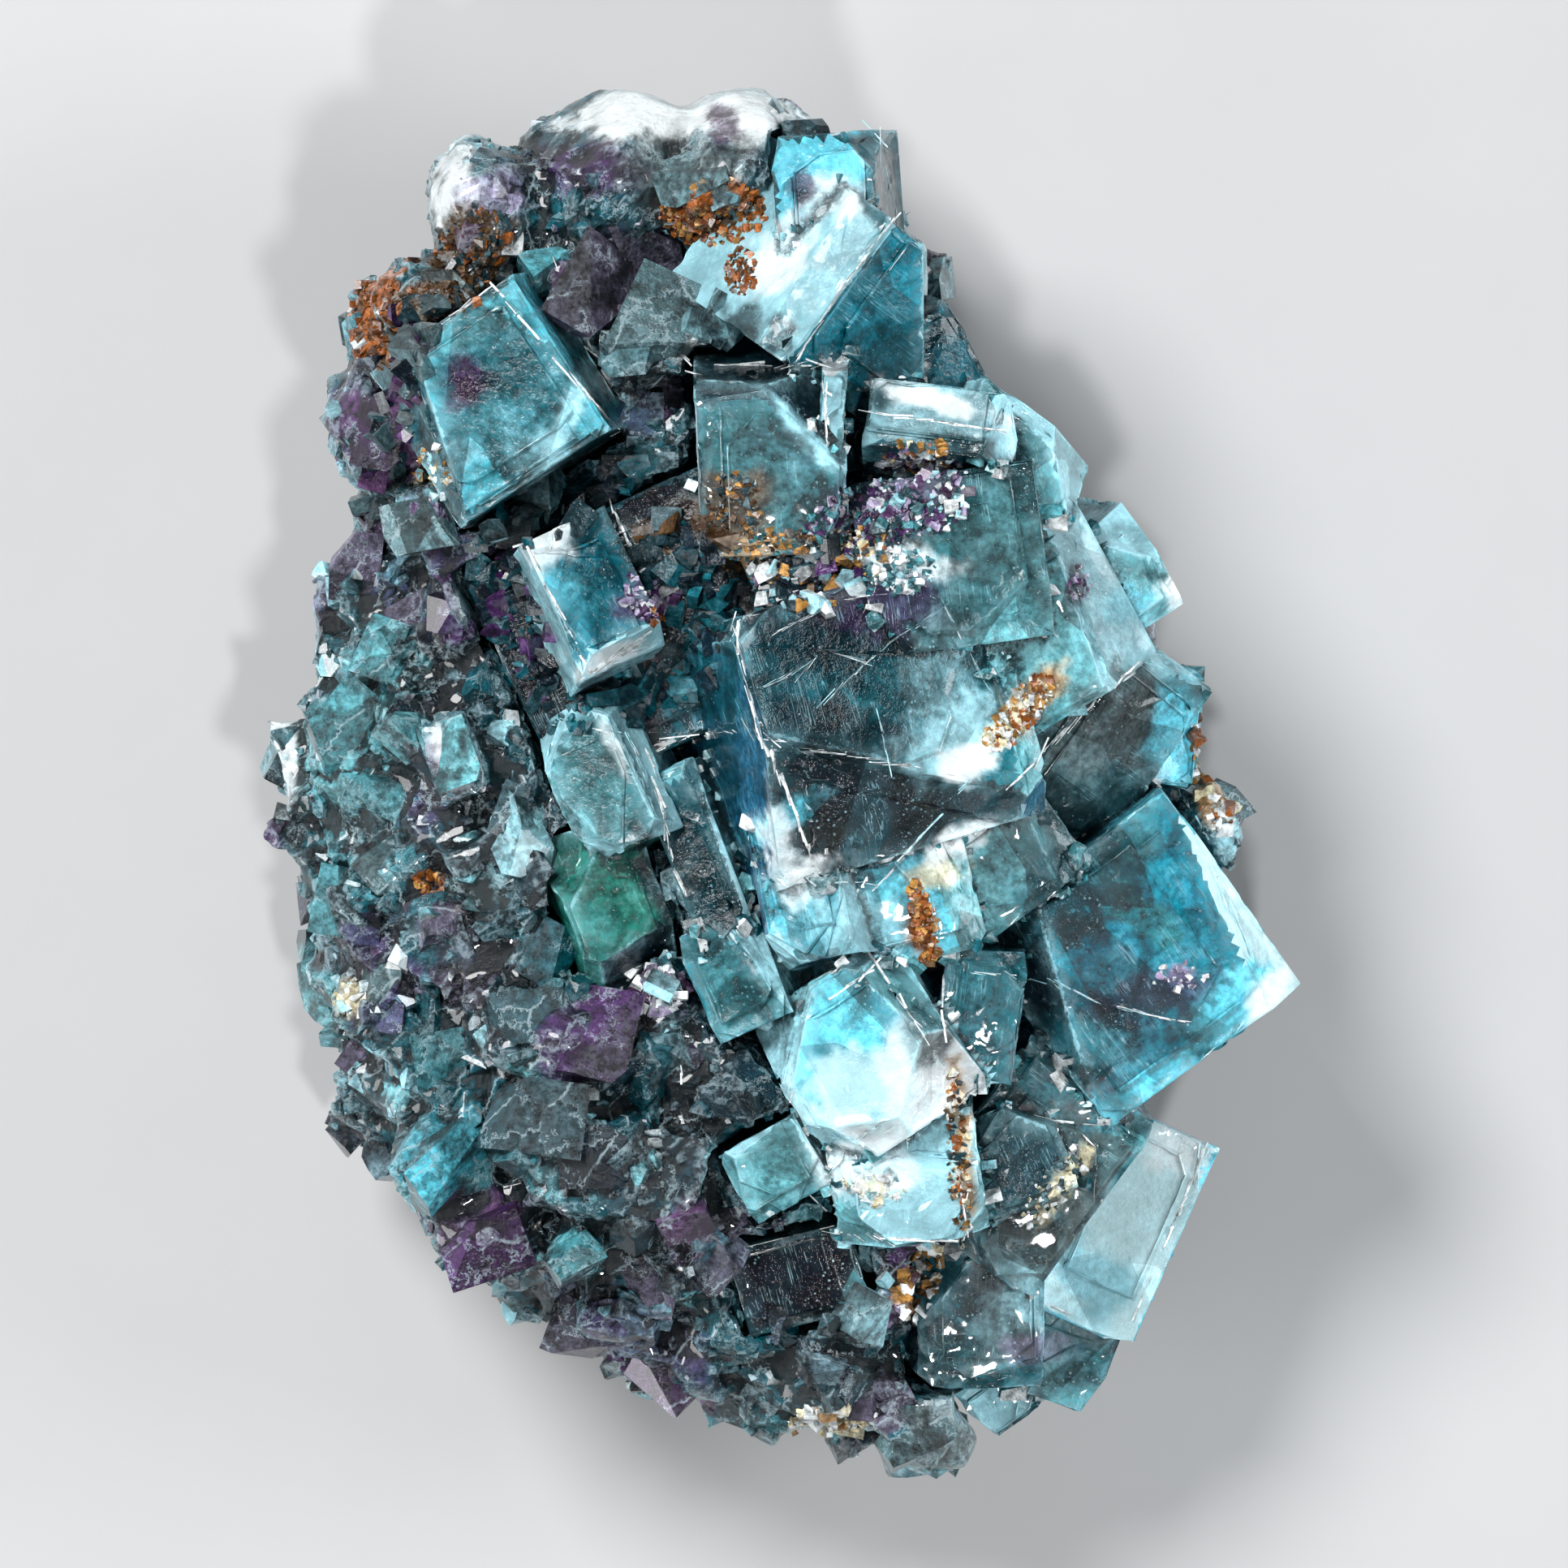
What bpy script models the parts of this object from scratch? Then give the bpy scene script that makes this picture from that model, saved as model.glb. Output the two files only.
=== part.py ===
"""Fluorite cluster: clear cubic crystals grown on a lump of granular fluorite.

The specimen lies on its broken back. +Z is up, towards the crystals, +Y runs along its
long axis and the origin is the centre of its footprint, on the surface that it rests on.
Lengths are in metres and are written as multiples of MM.
"""

import math
import random

import bmesh
import bpy
from mathutils import Matrix, Vector, noise

MM = 0.001

# Overall size and the seat of the lump
RIM_HEIGHT = 12.5 * MM
CORE_TOP = 13.0 * MM
CORE_BOTTOM = 17.0 * MM
CORE_SWELL = 1.1 * MM
SWELL_LENGTH = 9.0 * MM

# Clearance left between a crystal and what it is seated in
GAP = 0.3 * MM

# How far above a main crystal's top face the lump is cleared away
HEADROOM = 6.0 * MM

# Grains that stand out of the lump, from small to large
GRAIN_COUNT = 290
GRAIN_SMALL = 3.4 * MM
GRAIN_LARGE = 7.0 * MM
GRAIN_SEED = 12

# Share of the grains that are rounded, and how far a grain's middle lies below the lump's
# surface as a share of its size
GRAIN_ROUND = 0.55
GRAIN_SEAT = 0.26

# The lump's outline from above, as (bearing in degrees, distance from the centre in mm)
CORE_OUTLINE = (
    (-172, 26.6), (-159, 27.2), (-149, 28.8), (-139, 30.4), (-130, 32.2),
    (-119, 32.6), (-104, 34.6), (-92, 36.8), (-80, 38.0), (-71, 35.4),
    (-62, 30.6), (-50, 25.4), (-38, 21.8), (-24, 21.4), (-12, 23.2),
    (0, 23.2), (12, 21.6), (24, 22.4), (36, 20.4), (50, 21.4),
    (63, 22.0), (74, 27.6), (82, 33.0), (90, 36.4), (98, 38.0),
    (107, 38.0), (116, 37.0), (122, 34.2), (129, 31.4), (137, 31.0),
    (146, 28.2), (157, 27.6), (166, 26.2), (177, 27.2),
)

# Crystals: name, centre of the top face (x, y, z), length across, length along, depth,
# turn of the top face, bearing that it leans towards and lean, in mm and degrees
MAIN_CRYSTALS = (
    ("centre", 6.3, 4.0, 31.0, 16.0, 15.4, 14.0, 16.5, 16.5, 20),
    ("centre_north", -0.7, 17.4, 32.0, 8.5, 10.0, 13.0, 2, -90, 15),
    ("crown", 5.8, 25.6, 29.0, 10.2, 10.2, 12.0, 54, -36, 42),
    ("crown_cube", 2.2, 33.4, 29.0, 6.0, 6.4, 9.0, 4, 190, 10),
    ("crown_foot", 8.6, 23.2, 25.5, 5.6, 6.0, 9.0, 30, -20, 30),
    ("ledge", 8.8, 20.6, 30.5, 8.6, 4.0, 10.0, -8, 95, 22),
    ("shoulder", 12.6, 16.8, 28.5, 8.6, 9.0, 12.0, -33, 10, 16),
    ("shoulder_inner", 9.6, 12.6, 30.8, 10.5, 10.0, 12.0, 8, 0, 8),
    ("flank", 14.2, 8.6, 28.0, 11.6, 10.4, 13.0, 30, -30, 12),
    ("blade_face", 17.5, 1.6, 22.0, 14.2, 9.8, 10.0, 54, -36, 42),
    ("big_cube", 20.0, -9.9, 22.5, 13.9, 13.9, 13.5, 36, -15, 6),
    ("window", 11.0, -13.1, 25.6, 4.8, 7.6, 10.0, -8, -90, 6),
    ("column", 0.4, -4.6, 28.6, 5.4, 11.0, 10.0, 12, 180, 28),
    ("saddle", 6.0, -7.0, 27.6, 10.0, 7.0, 10.0, 14, -60, 10),
    ("saddle_east", 12.8, -4.6, 24.6, 7.6, 6.0, 9.0, 36, -60, 14),
    ("glow", 4.3, -15.4, 28.4, 9.8, 10.4, 13.0, 33, 200, 8),
    ("glow_foot", 6.9, -22.6, 26.0, 8.6, 7.2, 11.0, 8, -90, 12),
    ("grey_block", 14.0, -21.8, 21.6, 12.4, 9.0, 12.0, 54, -60, 8),
    ("grey_cap", 13.2, -21.0, 23.2, 5.6, 6.0, 8.0, 25, 60, 8),
    ("grey_foot", 11.2, -30.6, 18.6, 7.4, 8.0, 11.0, 0, -60, 12),
    ("south_corner", 16.0, -33.0, 13.6, 5.4, 5.0, 7.0, -20, -40, 15),
    ("south_tooth", 12.6, -35.0, 13.0, 4.6, 3.6, 7.0, 35, -60, 10),
    ("dark_floor", -8.6, 8.6, 25.0, 15.0, 14.0, 10.0, 25, 180, 4),
    ("hollow", 1.6, 11.4, 29.8, 6.6, 5.4, 8.0, 24, -70, 16),
    ("east_slab", 22.2, 3.4, 17.4, 3.6, 7.0, 8.0, -6, 0, 24),
    ("prism", 2.7, 20.8, 32.4, 1.5, 4.6, 5.0, -4, -90, 12),
    ("flank_edge", 19.2, 11.6, 22.6, 5.4, 6.6, 8.0, 30, -10, 22),
    ("west_prism", -4.8, -4.4, 26.8, 3.4, 11.6, 9.0, 21, 180, 10),
    ("west_block", -3.0, -10.8, 26.8, 4.8, 6.6, 9.0, 24, 200, 16),
    ("pale_cubes", -0.6, -21.8, 25.4, 5.2, 4.6, 8.0, 30, 220, 12),
    ("south_pocket", 0.8, -28.2, 21.6, 7.2, 5.4, 8.0, 15, -100, 18),
)
UPPER_CUBE = (("upper_cube", -16.9, 21.4, 29.4, 10.4, 10.4, 10.0, 33, 200, 8),)
SMALL_CUBE = (("small_cube", -10.5, 10.9, 30.4, 5.3, 8.5, 7.0, 25, 50, 14),)
GREEN_CRYSTALS = (
    ("pale_green", -10.4, 0.4, 27.6, 5.8, 8.8, 7.0, 24, 180, 14),
    ("dark_green", -9.4, -7.0, 26.0, 5.6, 9.8, 8.0, 20, 0, 12),
)
BLADE = (("blade", 19.4, -25.2, 15.8, 12.6, 6.4, 5.0, 66, -23, 5),)

# Corners lost to cleavage: crystal, corner of its top face and depth of the break
CLEAVED = {
    "centre": (((-1, -1), 2.6), ((1, -1), 1.8)),
    "centre_north": (((1, 1), 3.0),),
    "crown": (((1, -1), 3.9), ((-1, -1), 1.2)),
    "crown_cube": (((1, 1), 1.1),),
    "shoulder": (((1, 1), 2.6), ((1, -1), 1.6)),
    "flank": (((1, 1), 1.6), ((1, -1), 1.2)),
    "saddle_east": (((1, 1), 1.2),),
    "big_cube": (((-1, 1), 2.4),),
    "window": (((1, 1), 1.3), ((-1, -1), 1.2)),
    "column": (((-1, 1), 1.6), ((-1, -1), 1.4)),
    "glow": (((-1, 1), 3.0), ((-1, -1), 2.4), ((1, 1), 2.0)),
    "glow_foot": (((-1, -1), 2.0), ((1, -1), 1.4)),
    "grey_cap": (((1, 1), 1.6), ((-1, 1), 1.2)),
    "pale_green": (((-1, 1), 1.9), ((1, 1), 1.6), ((1, -1), 1.2), ((-1, -1), 1.6)),
    "dark_green": (((-1, -1), 1.8), ((1, 1), 1.4)),
    "blade": (((1, 1), 0.6),),
}

# Broken faces: crystal, then a point on the break (mm), the bearing that it faces and its
# slope in degrees (0 faces up)
BREAKS = {
    "centre": ((4.7, 1.55, 31.8, -61, 26), (12.6, 6.0, 28.6, 10, 48), (2.0, 11.4, 33.0, 120, 40)),
    "centre_north": ((2.6, 20.0, 32.2, 40, 62), (-2.0, 21.8, 33.0, 100, 55), (2.4, 13.4, 30.6, -30, 60)),
    "crown": ((8.4, 21.4, 25.6, -70, 62), (2.6, 26.0, 32.0, 140, 30)),
    "crown_cube": ((4.6, 36.0, 28.0, 45, 60),),
    "ledge": ((12.6, 20.0, 29.4, 0, 50), (5.4, 21.6, 30.4, 150, 50)),
    "shoulder": ((16.0, 18.6, 27.0, 35, 50), (14.6, 13.6, 27.2, -50, 40)),
    "shoulder_inner": ((5.0, 15.8, 30.4, 140, 35), (13.6, 9.6, 29.6, -40, 30), (6.0, 8.0, 30.6, 230, 30)),
    "flank": ((18.4, 9.6, 25.8, 10, 45), (12.0, 3.4, 28.0, -100, 40)),
    "blade_face": ((21.6, 7.4, 20.4, 40, 62),),
    "big_cube": ((14.6, -12.0, 22.0, 200, 40), (26.6, -10.0, 21.2, 20, 50)),
    "column": ((-1.6, -8.6, 27.8, 230, 48), (2.4, 0.0, 28.6, 60, 40)),
    "saddle": ((3.0, -9.6, 27.0, 250, 40), (9.6, -6.0, 26.8, 10, 40)),
    "saddle_east": ((15.8, -3.8, 23.4, 10, 45),),
    "glow": ((0.6, -12.0, 28.0, 150, 38), (7.8, -12.2, 27.6, 50, 42), (8.6, -17.6, 27.2, -20, 40),
             (0.2, -18.6, 28.0, 210, 40), (4.6, -19.8, 27.6, -90, 40)),
    "glow_foot": ((3.4, -24.6, 25.4, 220, 42), (9.8, -25.0, 25.2, -45, 40), (7.0, -21.0, 26.0, 80, 18)),
    "grey_block": ((19.6, -19.0, 20.4, 40, 45), (10.6, -26.0, 20.8, 215, 45)),
    "grey_cap": ((11.6, -19.0, 22.8, 140, 40),),
    "grey_foot": ((8.6, -28.0, 18.2, 150, 45), (12.6, -33.4, 17.6, -70, 45)),
    "hollow": ((2.0, 13.2, 29.4, 100, 40), (-0.6, 10.2, 29.4, 200, 40)),
    "flank_edge": ((21.4, 13.0, 21.4, 50, 45), (21.6, 9.4, 20.6, -40, 50)),
    "west_prism": ((-6.6, 0.2, 26.4, 120, 42), (-3.0, -9.4, 26.2, -50, 45)),
    "west_block": ((-4.6, -12.8, 26.2, 230, 45), (-1.6, -8.8, 26.6, 40, 38)),
    "pale_cubes": ((-2.4, -20.4, 25.0, 140, 45),),
    "south_pocket": ((3.2, -30.4, 20.8, -40, 45),),
    "upper_cube": ((-20.7, 25.1, 29.6, 198, 62),),
    "small_cube": ((-8.2, 7.4, 29.2, -50, 50),),
    "pale_green": ((-12.4, -1.6, 26.6, 215, 50), (-8.4, 2.4, 26.8, 30, 50)),
    "dark_green": ((-7.4, -9.6, 24.4, -50, 50), (-11.6, -4.4, 25.6, 150, 45)),
}

# Lumps that can be told apart in the granular part: centre, size and turn, in mm and
# degrees, and how round each is (0 for a block, more for a finer ball)
LUMPS = (
    ("dome_west", (-9.0, 33.6, 16.0), (12.0, 11.4, 17.0), 15, 2),
    ("dome_east", (-2.4, 33.8, 17.0), (11.0, 11.6, 17.0), -12, 2),
    ("knob_north", (-16.6, 32.0, 17.0), (7.4, 9.2, 14.0), 14, 2),
    ("spur_foot", (-22.6, 24.6, 15.0), (4.6, 6.4, 9.0), 12, 0),
    ("spur_tip", (-23.0, 27.0, 15.6), (2.2, 4.2, 4.4), 40, 0),
    ("knob_east", (22.0, 9.9, 16.0), (4.8, 5.6, 9.0), 20, 1),
    ("tooth_east", (24.8, 2.2, 15.0), (2.6, 2.4, 3.4), 40, 0),
    ("rim_east", (24.2, -2.6, 14.0), (4.8, 6.0, 8.0), 10, 1),
    ("rim_south", (8.4, -36.6, 11.0), (6.6, 6.0, 11.0), 20, 1),
    ("twin_west", (-19.2, -21.4, 20.0), (7.4, 6.4, 8.0), 40, 1),
    ("twin_south", (-16.6, -25.4, 19.6), (7.6, 6.0, 8.0), 10, 1),
    ("pebble", (-11.8, -26.6, 22.4), (3.8, 3.4, 5.0), 25, 1),
    ("plate_north", (-12.4, -14.6, 23.6), (11.0, 7.0, 6.0), -14, 1),
    ("plate_south", (-9.6, -22.0, 23.2), (10.0, 5.6, 6.0), -8, 0),
    ("facet_pale", (-17.6, 10.8, 24.6), (3.2, 3.0, 4.6), 30, 0),
    ("facet_white", (-18.6, 1.6, 23.0), (3.4, 5.2, 6.0), 20, 0),
    ("west_lump", (-23.4, 0.6, 16.0), (8.0, 9.0, 10.0), 30, 1),
    ("seat_west", (-23.0, 20.0, 18.0), (6.4, 8.6, 12.0), 30, 1),
    ("seat_north", (-19.6, 27.0, 18.6), (8.0, 6.0, 12.0), -20, 1),
    ("seat_south", (-17.6, 14.6, 20.0), (7.0, 5.0, 10.0), 15, 0),
    ("pocket_floor", (-12.0, 27.0, 21.0), (9.0, 8.0, 8.0), 40, 1),
    ("pocket_edge", (-6.0, 25.4, 22.6), (6.0, 5.0, 8.0), 10, 0),
)

MATERIALS = {
    "granular_fluorite": ((0.16, 0.19, 0.21, 1.0), 0.45, 0.25),
    "teal_crystal": ((0.10, 0.42, 0.50, 1.0), 0.12, 0.85),
    "blue_crystal": ((0.16, 0.50, 0.60, 1.0), 0.14, 0.80),
    "green_crystal": ((0.14, 0.45, 0.38, 1.0), 0.14, 0.80),
    "pale_crystal": ((0.55, 0.82, 0.88, 1.0), 0.18, 0.85),
}


def clear_scene():
    """Removes the startup objects."""
    for obj in list(bpy.data.objects):
        bpy.data.objects.remove(obj, do_unlink=True)


def new_collection(name):
    collection = bpy.data.collections.new(name)
    bpy.context.scene.collection.children.link(collection)
    return collection


def make_material(name):
    """A Principled material with the piece's colour, roughness and clearness."""
    colour, roughness, clear = MATERIALS[name]
    material = bpy.data.materials.new(name)
    material.use_nodes = True
    shader = material.node_tree.nodes["Principled BSDF"]
    shader.inputs["Base Color"].default_value = colour
    shader.inputs["Roughness"].default_value = roughness
    shader.inputs["Metallic"].default_value = 0.0
    shader.inputs["Transmission Weight"].default_value = clear
    shader.inputs["IOR"].default_value = 1.434
    material.diffuse_color = colour
    return material


def link_mesh(name, mesh_builder, collection):
    """Turns a bmesh into an object of the given collection and frees the bmesh."""
    mesh = bpy.data.meshes.new(name)
    mesh_builder.normal_update()
    mesh_builder.to_mesh(mesh)
    mesh_builder.free()
    obj = bpy.data.objects.new(name, mesh)
    collection.objects.link(obj)
    return obj


def leaning_frame(top, turn, bearing, lean):
    """The matrix of a crystal whose top face is centred on top, turned and leaning."""
    side = math.radians(bearing + 90)
    axis = Vector((math.cos(side), math.sin(side), 0))
    tilt = Matrix.Rotation(math.radians(lean), 4, axis)
    return Matrix.Translation(top) @ tilt @ Matrix.Rotation(math.radians(turn), 4, "Z")


def slice_off(crystal, point, normal):
    """Removes what lies beyond a plane and closes the cut with a flat face."""
    cut = bmesh.ops.bisect_plane(
        crystal,
        geom=crystal.verts[:] + crystal.edges[:] + crystal.faces[:],
        plane_co=point,
        plane_no=normal,
        clear_outer=True,
    )
    edges = [item for item in cut["geom_cut"] if isinstance(item, bmesh.types.BMEdge)]
    bmesh.ops.contextual_create(crystal, geom=edges)


def lost_faces(name, size, frame):
    """The crystal's cleaved corners and broken faces, as points and normals in its own axes."""
    faces = []
    for (side_x, side_y), loss in CLEAVED.get(name, ()):
        corner = Vector((side_x * size.x / 2, side_y * size.y / 2, 0))
        normal = Vector((side_x, side_y, 1)).normalized()
        faces.append((corner - normal * loss * MM, normal))
    inverse = frame.inverted()
    for x, y, z, facing, slope in BREAKS.get(name, ()):
        bearing, lift = math.radians(facing), math.radians(slope)
        flat = math.sin(lift)
        normal = Vector((math.cos(bearing) * flat, math.sin(bearing) * flat, math.cos(lift)))
        faces.append((inverse @ (Vector((x, y, z)) * MM), inverse.to_3x3() @ normal))
    return faces


def crystal_block(row, collection, grow=0.0, rise=0.0):
    """One cubic crystal with its cleaved corners and broken faces.

    A cutter is larger all round by grow, or stands higher by rise and keeps its corners.
    """
    name, x, y, z, across, along, depth, turn, bearing, lean = row
    size = Vector((across, along, depth)) * MM
    frame = leaning_frame(Vector((x, y, z)) * MM, turn, bearing, lean)
    crystal = bmesh.new()
    bmesh.ops.create_cube(crystal, size=1.0)
    full = size + Vector((2 * grow, 2 * grow, 2 * grow + rise))
    centre_z = (rise - size.z) / 2
    bmesh.ops.transform(
        crystal,
        matrix=Matrix.Translation((0, 0, centre_z)) @ Matrix.Diagonal((*full, 1)),
        verts=crystal.verts,
    )
    for point, normal in () if rise else lost_faces(name, size, frame):
        slice_off(crystal, point + normal * grow, normal)
    bmesh.ops.transform(crystal, matrix=frame, verts=crystal.verts)
    bmesh.ops.recalc_face_normals(crystal, faces=crystal.faces)
    return link_mesh(name, crystal, collection)


def rounded_corners(dice, fineness):
    """A ball with seeded dents, for rounded grains and knobs."""
    grain = bmesh.new()
    bmesh.ops.create_icosphere(grain, subdivisions=fineness, radius=0.56)
    for vertex in grain.verts:
        vertex.co *= dice.uniform(0.88, 1.08)
    return grain


def block_corners(dice):
    """A block with a seeded wobble on its corners."""
    grain = bmesh.new()
    bmesh.ops.create_cube(grain, size=1.0)
    for vertex in grain.verts:
        vertex.co *= dice.uniform(0.84, 1.1)
    return grain


def worn_grain(name, matrix, size, fineness, dice, collection):
    """A grain: a rounded lump, or a block that has lost one or two of its corners."""
    grain = rounded_corners(dice, fineness) if fineness else block_corners(dice)
    bmesh.ops.transform(grain, matrix=Matrix.Diagonal((*size, 1)), verts=grain.verts)
    bmesh.ops.delete(grain, geom=grain.edges[:], context="EDGES_FACES")
    bmesh.ops.convex_hull(grain, input=grain.verts)
    if not fineness:
        for _ in range(dice.choice((1, 2))):
            normal = Vector([dice.choice((-1, 1)) for _ in range(3)]).normalized()
            reach = max(vertex.co.dot(normal) for vertex in grain.verts)
            slice_off(grain, normal * reach * dice.uniform(0.62, 0.8), normal)
    bmesh.ops.transform(grain, matrix=matrix, verts=grain.verts)
    bmesh.ops.triangulate(grain, faces=grain.faces)
    bmesh.ops.recalc_face_normals(grain, faces=grain.faces)
    return link_mesh(name, grain, collection)


def outline_radius(bearing):
    """Distance from the centre to the lump's rim, eased between the outline's points."""
    count = len(CORE_OUTLINE)
    for index in range(count):
        start, near = CORE_OUTLINE[index]
        end, far = CORE_OUTLINE[(index + 1) % count]
        span = (end - start) % 360
        step = (bearing - start) % 360
        if step <= span:
            share = step / span
            ease = share * share * (3 - 2 * share)
            return (near + (far - near) * ease) * MM
    return CORE_OUTLINE[0][1] * MM


def core_point(direction):
    """The point of the lump's core that lies in a direction from its middle."""
    bearing = math.degrees(math.atan2(direction.y, direction.x))
    reach = outline_radius(bearing)
    flat = math.hypot(direction.x, direction.y)
    height = direction.z * (CORE_TOP if direction.z > 0 else CORE_BOTTOM)
    across = direction.x / max(flat, 1e-6)
    along = direction.y / max(flat, 1e-6)
    spread = flat ** 0.8
    point = Vector((across * spread * reach, along * spread * reach, RIM_HEIGHT + height))
    swell = noise.noise(point / SWELL_LENGTH) * CORE_SWELL
    return point + direction * swell


def lump_core(collection):
    """The body of the granular lump: a ball drawn out to its outline."""
    core = bmesh.new()
    bmesh.ops.create_icosphere(core, subdivisions=3, radius=1.0)
    for vertex in core.verts:
        vertex.co = core_point(vertex.co.normalized())
    return link_mesh("core", core, collection)


def spiral_direction(index, count):
    """Evenly spread directions over a ball, along a golden spiral."""
    height = 1 - 2 * (index + 0.5) / count
    turn = index * math.pi * (3 - math.sqrt(5))
    flat = math.sqrt(1 - height * height)
    return Vector((flat * math.cos(turn), flat * math.sin(turn), height))


def inside_crystal(point, row):
    """Whether a point lies in a crystal, where a grain would never be seen."""
    _, x, y, z, across, along, depth, turn, bearing, lean = row
    frame = leaning_frame(Vector((x, y, z)) * MM, turn, bearing, lean)
    local = frame.inverted() @ point / MM
    return abs(local.x) < across / 2 and abs(local.y) < along / 2 and -depth < local.z < 0


def scatter_grains(collection):
    """Scatters worn grains over the part of the lump that no crystal covers."""
    dice = random.Random(GRAIN_SEED)
    covers = MAIN_CRYSTALS + UPPER_CUBE + SMALL_CUBE + GREEN_CRYSTALS
    for index in range(GRAIN_COUNT):
        direction = spiral_direction(index, GRAIN_COUNT)
        edge = dice.uniform(GRAIN_SMALL, GRAIN_LARGE)
        size = [edge * dice.uniform(0.75, 1.15) for _ in range(3)]
        turn = Matrix.Rotation(dice.uniform(0, math.tau), 4, "Z")
        roll = Matrix.Rotation(dice.uniform(-0.7, 0.7), 4, "X")
        fineness = 1 if dice.random() < GRAIN_ROUND else 0
        seat = core_point(direction) - direction * edge * GRAIN_SEAT
        hidden = any(inside_crystal(seat, row) for row in covers)
        if hidden or seat.z < -edge * 0.2:
            continue
        matrix = Matrix.Translation(seat) @ turn @ roll
        worn_grain(f"grain_{index}", matrix, size, fineness, dice, collection)


def place_lumps(collection):
    """Adds the lumps that can be told apart."""
    dice = random.Random(GRAIN_SEED)
    for name, centre, size, turn, fineness in LUMPS:
        matrix = Matrix.Translation(Vector(centre) * MM) @ Matrix.Rotation(math.radians(turn), 4, "Z")
        size = [length * MM for length in size]
        worn_grain(name, matrix, size, fineness, dice, collection)


def settle(obj):
    """Replaces an object's mesh by what its modifiers make of it."""
    graph = bpy.context.evaluated_depsgraph_get()
    mesh = bpy.data.meshes.new_from_object(obj.evaluated_get(graph))
    obj.modifiers.clear()
    obj.data = mesh
    return obj


def combine(obj, operation, collection, solver="EXACT"):
    """Joins a collection's solids to an object, or cuts them out of it."""
    boolean = obj.modifiers.new(operation.title(), "BOOLEAN")
    boolean.operation = operation
    boolean.solver = solver
    boolean.operand_type = "COLLECTION"
    boolean.collection = collection
    bpy.context.view_layer.update()
    return settle(obj)


def flood(start):
    """The vertices joined to one vertex by edges."""
    found = {start}
    waiting = [start]
    while waiting:
        vertex = waiting.pop()
        for edge in vertex.link_edges:
            other = edge.other_vert(vertex)
            if other not in found:
                found.add(other)
                waiting.append(other)
    return found


def keep_largest(obj):
    """Drops the crumbs that cutting has parted from the piece."""
    mesh = bmesh.new()
    mesh.from_mesh(obj.data)
    left = set(mesh.verts)
    islands = []
    while left:
        island = flood(next(iter(left)))
        islands.append(island)
        left -= island
    islands.sort(key=len)
    for island in islands[:-1]:
        bmesh.ops.delete(mesh, geom=list(island), context="VERTS")
    mesh.to_mesh(obj.data)
    mesh.free()
    return obj


def hide_cutters(collection):
    for obj in collection.objects:
        obj.hide_render = True
        obj.display_type = "WIRE"


def grown_copies(name, rows, rise=0.0):
    """Cutters that are a crystal's shape plus the clearance all round."""
    collection = new_collection(name)
    for row in rows:
        crystal_block(row, collection, GAP, rise).name = name + "_" + row[0]
    hide_cutters(collection)
    return collection


def crystal_group(name, rows, parts, helpers):
    """Crystals that have grown into each other, as one solid."""
    first = crystal_block(rows[0], parts)
    first.name = name
    if len(rows) > 1:
        others = new_collection(name + "_blocks")
        for row in rows[1:]:
            crystal_block(row, others)
        hide_cutters(others)
        helpers.children.link(others)
        bpy.context.scene.collection.children.unlink(others)
        combine(first, "UNION", others)
    return first


def centre_footprint(pieces):
    """Moves the pieces so that the middle of their footprint is the origin."""
    corners = [piece.matrix_world @ vertex.co for piece in pieces for vertex in piece.data.vertices]
    low = Vector([min(corner[axis] for corner in corners) for axis in range(3)])
    high = Vector([max(corner[axis] for corner in corners) for axis in range(3)])
    shift = Vector((-(low.x + high.x) / 2, -(low.y + high.y) / 2, -low.z))
    for piece in pieces:
        piece.data.transform(Matrix.Translation(shift))


def main():
    clear_scene()
    parts = new_collection("fluorite_cluster")
    helpers = new_collection("cutters")
    main_cutters = grown_copies("main_cutters", MAIN_CRYSTALS)
    small_rows = UPPER_CUBE + SMALL_CUBE + GREEN_CRYSTALS
    small_cutters = grown_copies("small_cutters", small_rows)
    blade_cutters = grown_copies("blade_cutters", BLADE)
    tall_cutters = grown_copies("tall_cutters", MAIN_CRYSTALS, HEADROOM)

    main_crystals = crystal_group("main_crystals", MAIN_CRYSTALS, parts, helpers)
    combine(main_crystals, "DIFFERENCE", small_cutters)
    upper_cube = crystal_group("upper_cube", UPPER_CUBE, parts, helpers)
    small_cube = crystal_group("small_cube", SMALL_CUBE, parts, helpers)
    green_crystals = crystal_group("green_crystals", GREEN_CRYSTALS, parts, helpers)
    blade = crystal_group("blade_crystal", BLADE, parts, helpers)
    combine(blade, "DIFFERENCE", main_cutters)

    lump = lump_core(parts)
    lump.name = "granular_base"
    grain_set = new_collection("grains")
    scatter_grains(grain_set)
    place_lumps(grain_set)
    hide_cutters(grain_set)
    combine(lump, "UNION", grain_set, "MANIFOLD")
    for cutters in (tall_cutters, small_cutters, blade_cutters):
        combine(lump, "DIFFERENCE", cutters, "MANIFOLD")
    ground = new_collection("ground")
    box = bmesh.new()
    bmesh.ops.create_cube(box, size=0.1)
    bmesh.ops.translate(box, vec=(0, 0, -0.05), verts=box.verts)
    link_mesh("ground_cut", box, ground)
    hide_cutters(ground)
    combine(lump, "DIFFERENCE", ground, "MANIFOLD")

    finishes = (
        (lump, "granular_fluorite"),
        (main_crystals, "teal_crystal"),
        (upper_cube, "blue_crystal"),
        (small_cube, "blue_crystal"),
        (green_crystals, "green_crystal"),
        (blade, "pale_crystal"),
    )
    for obj, finish in finishes:
        keep_largest(obj)
        obj.data.materials.clear()
        obj.data.materials.append(make_material(finish))
    centre_footprint([obj for obj, _ in finishes])


main()
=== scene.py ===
import math
import random

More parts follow.
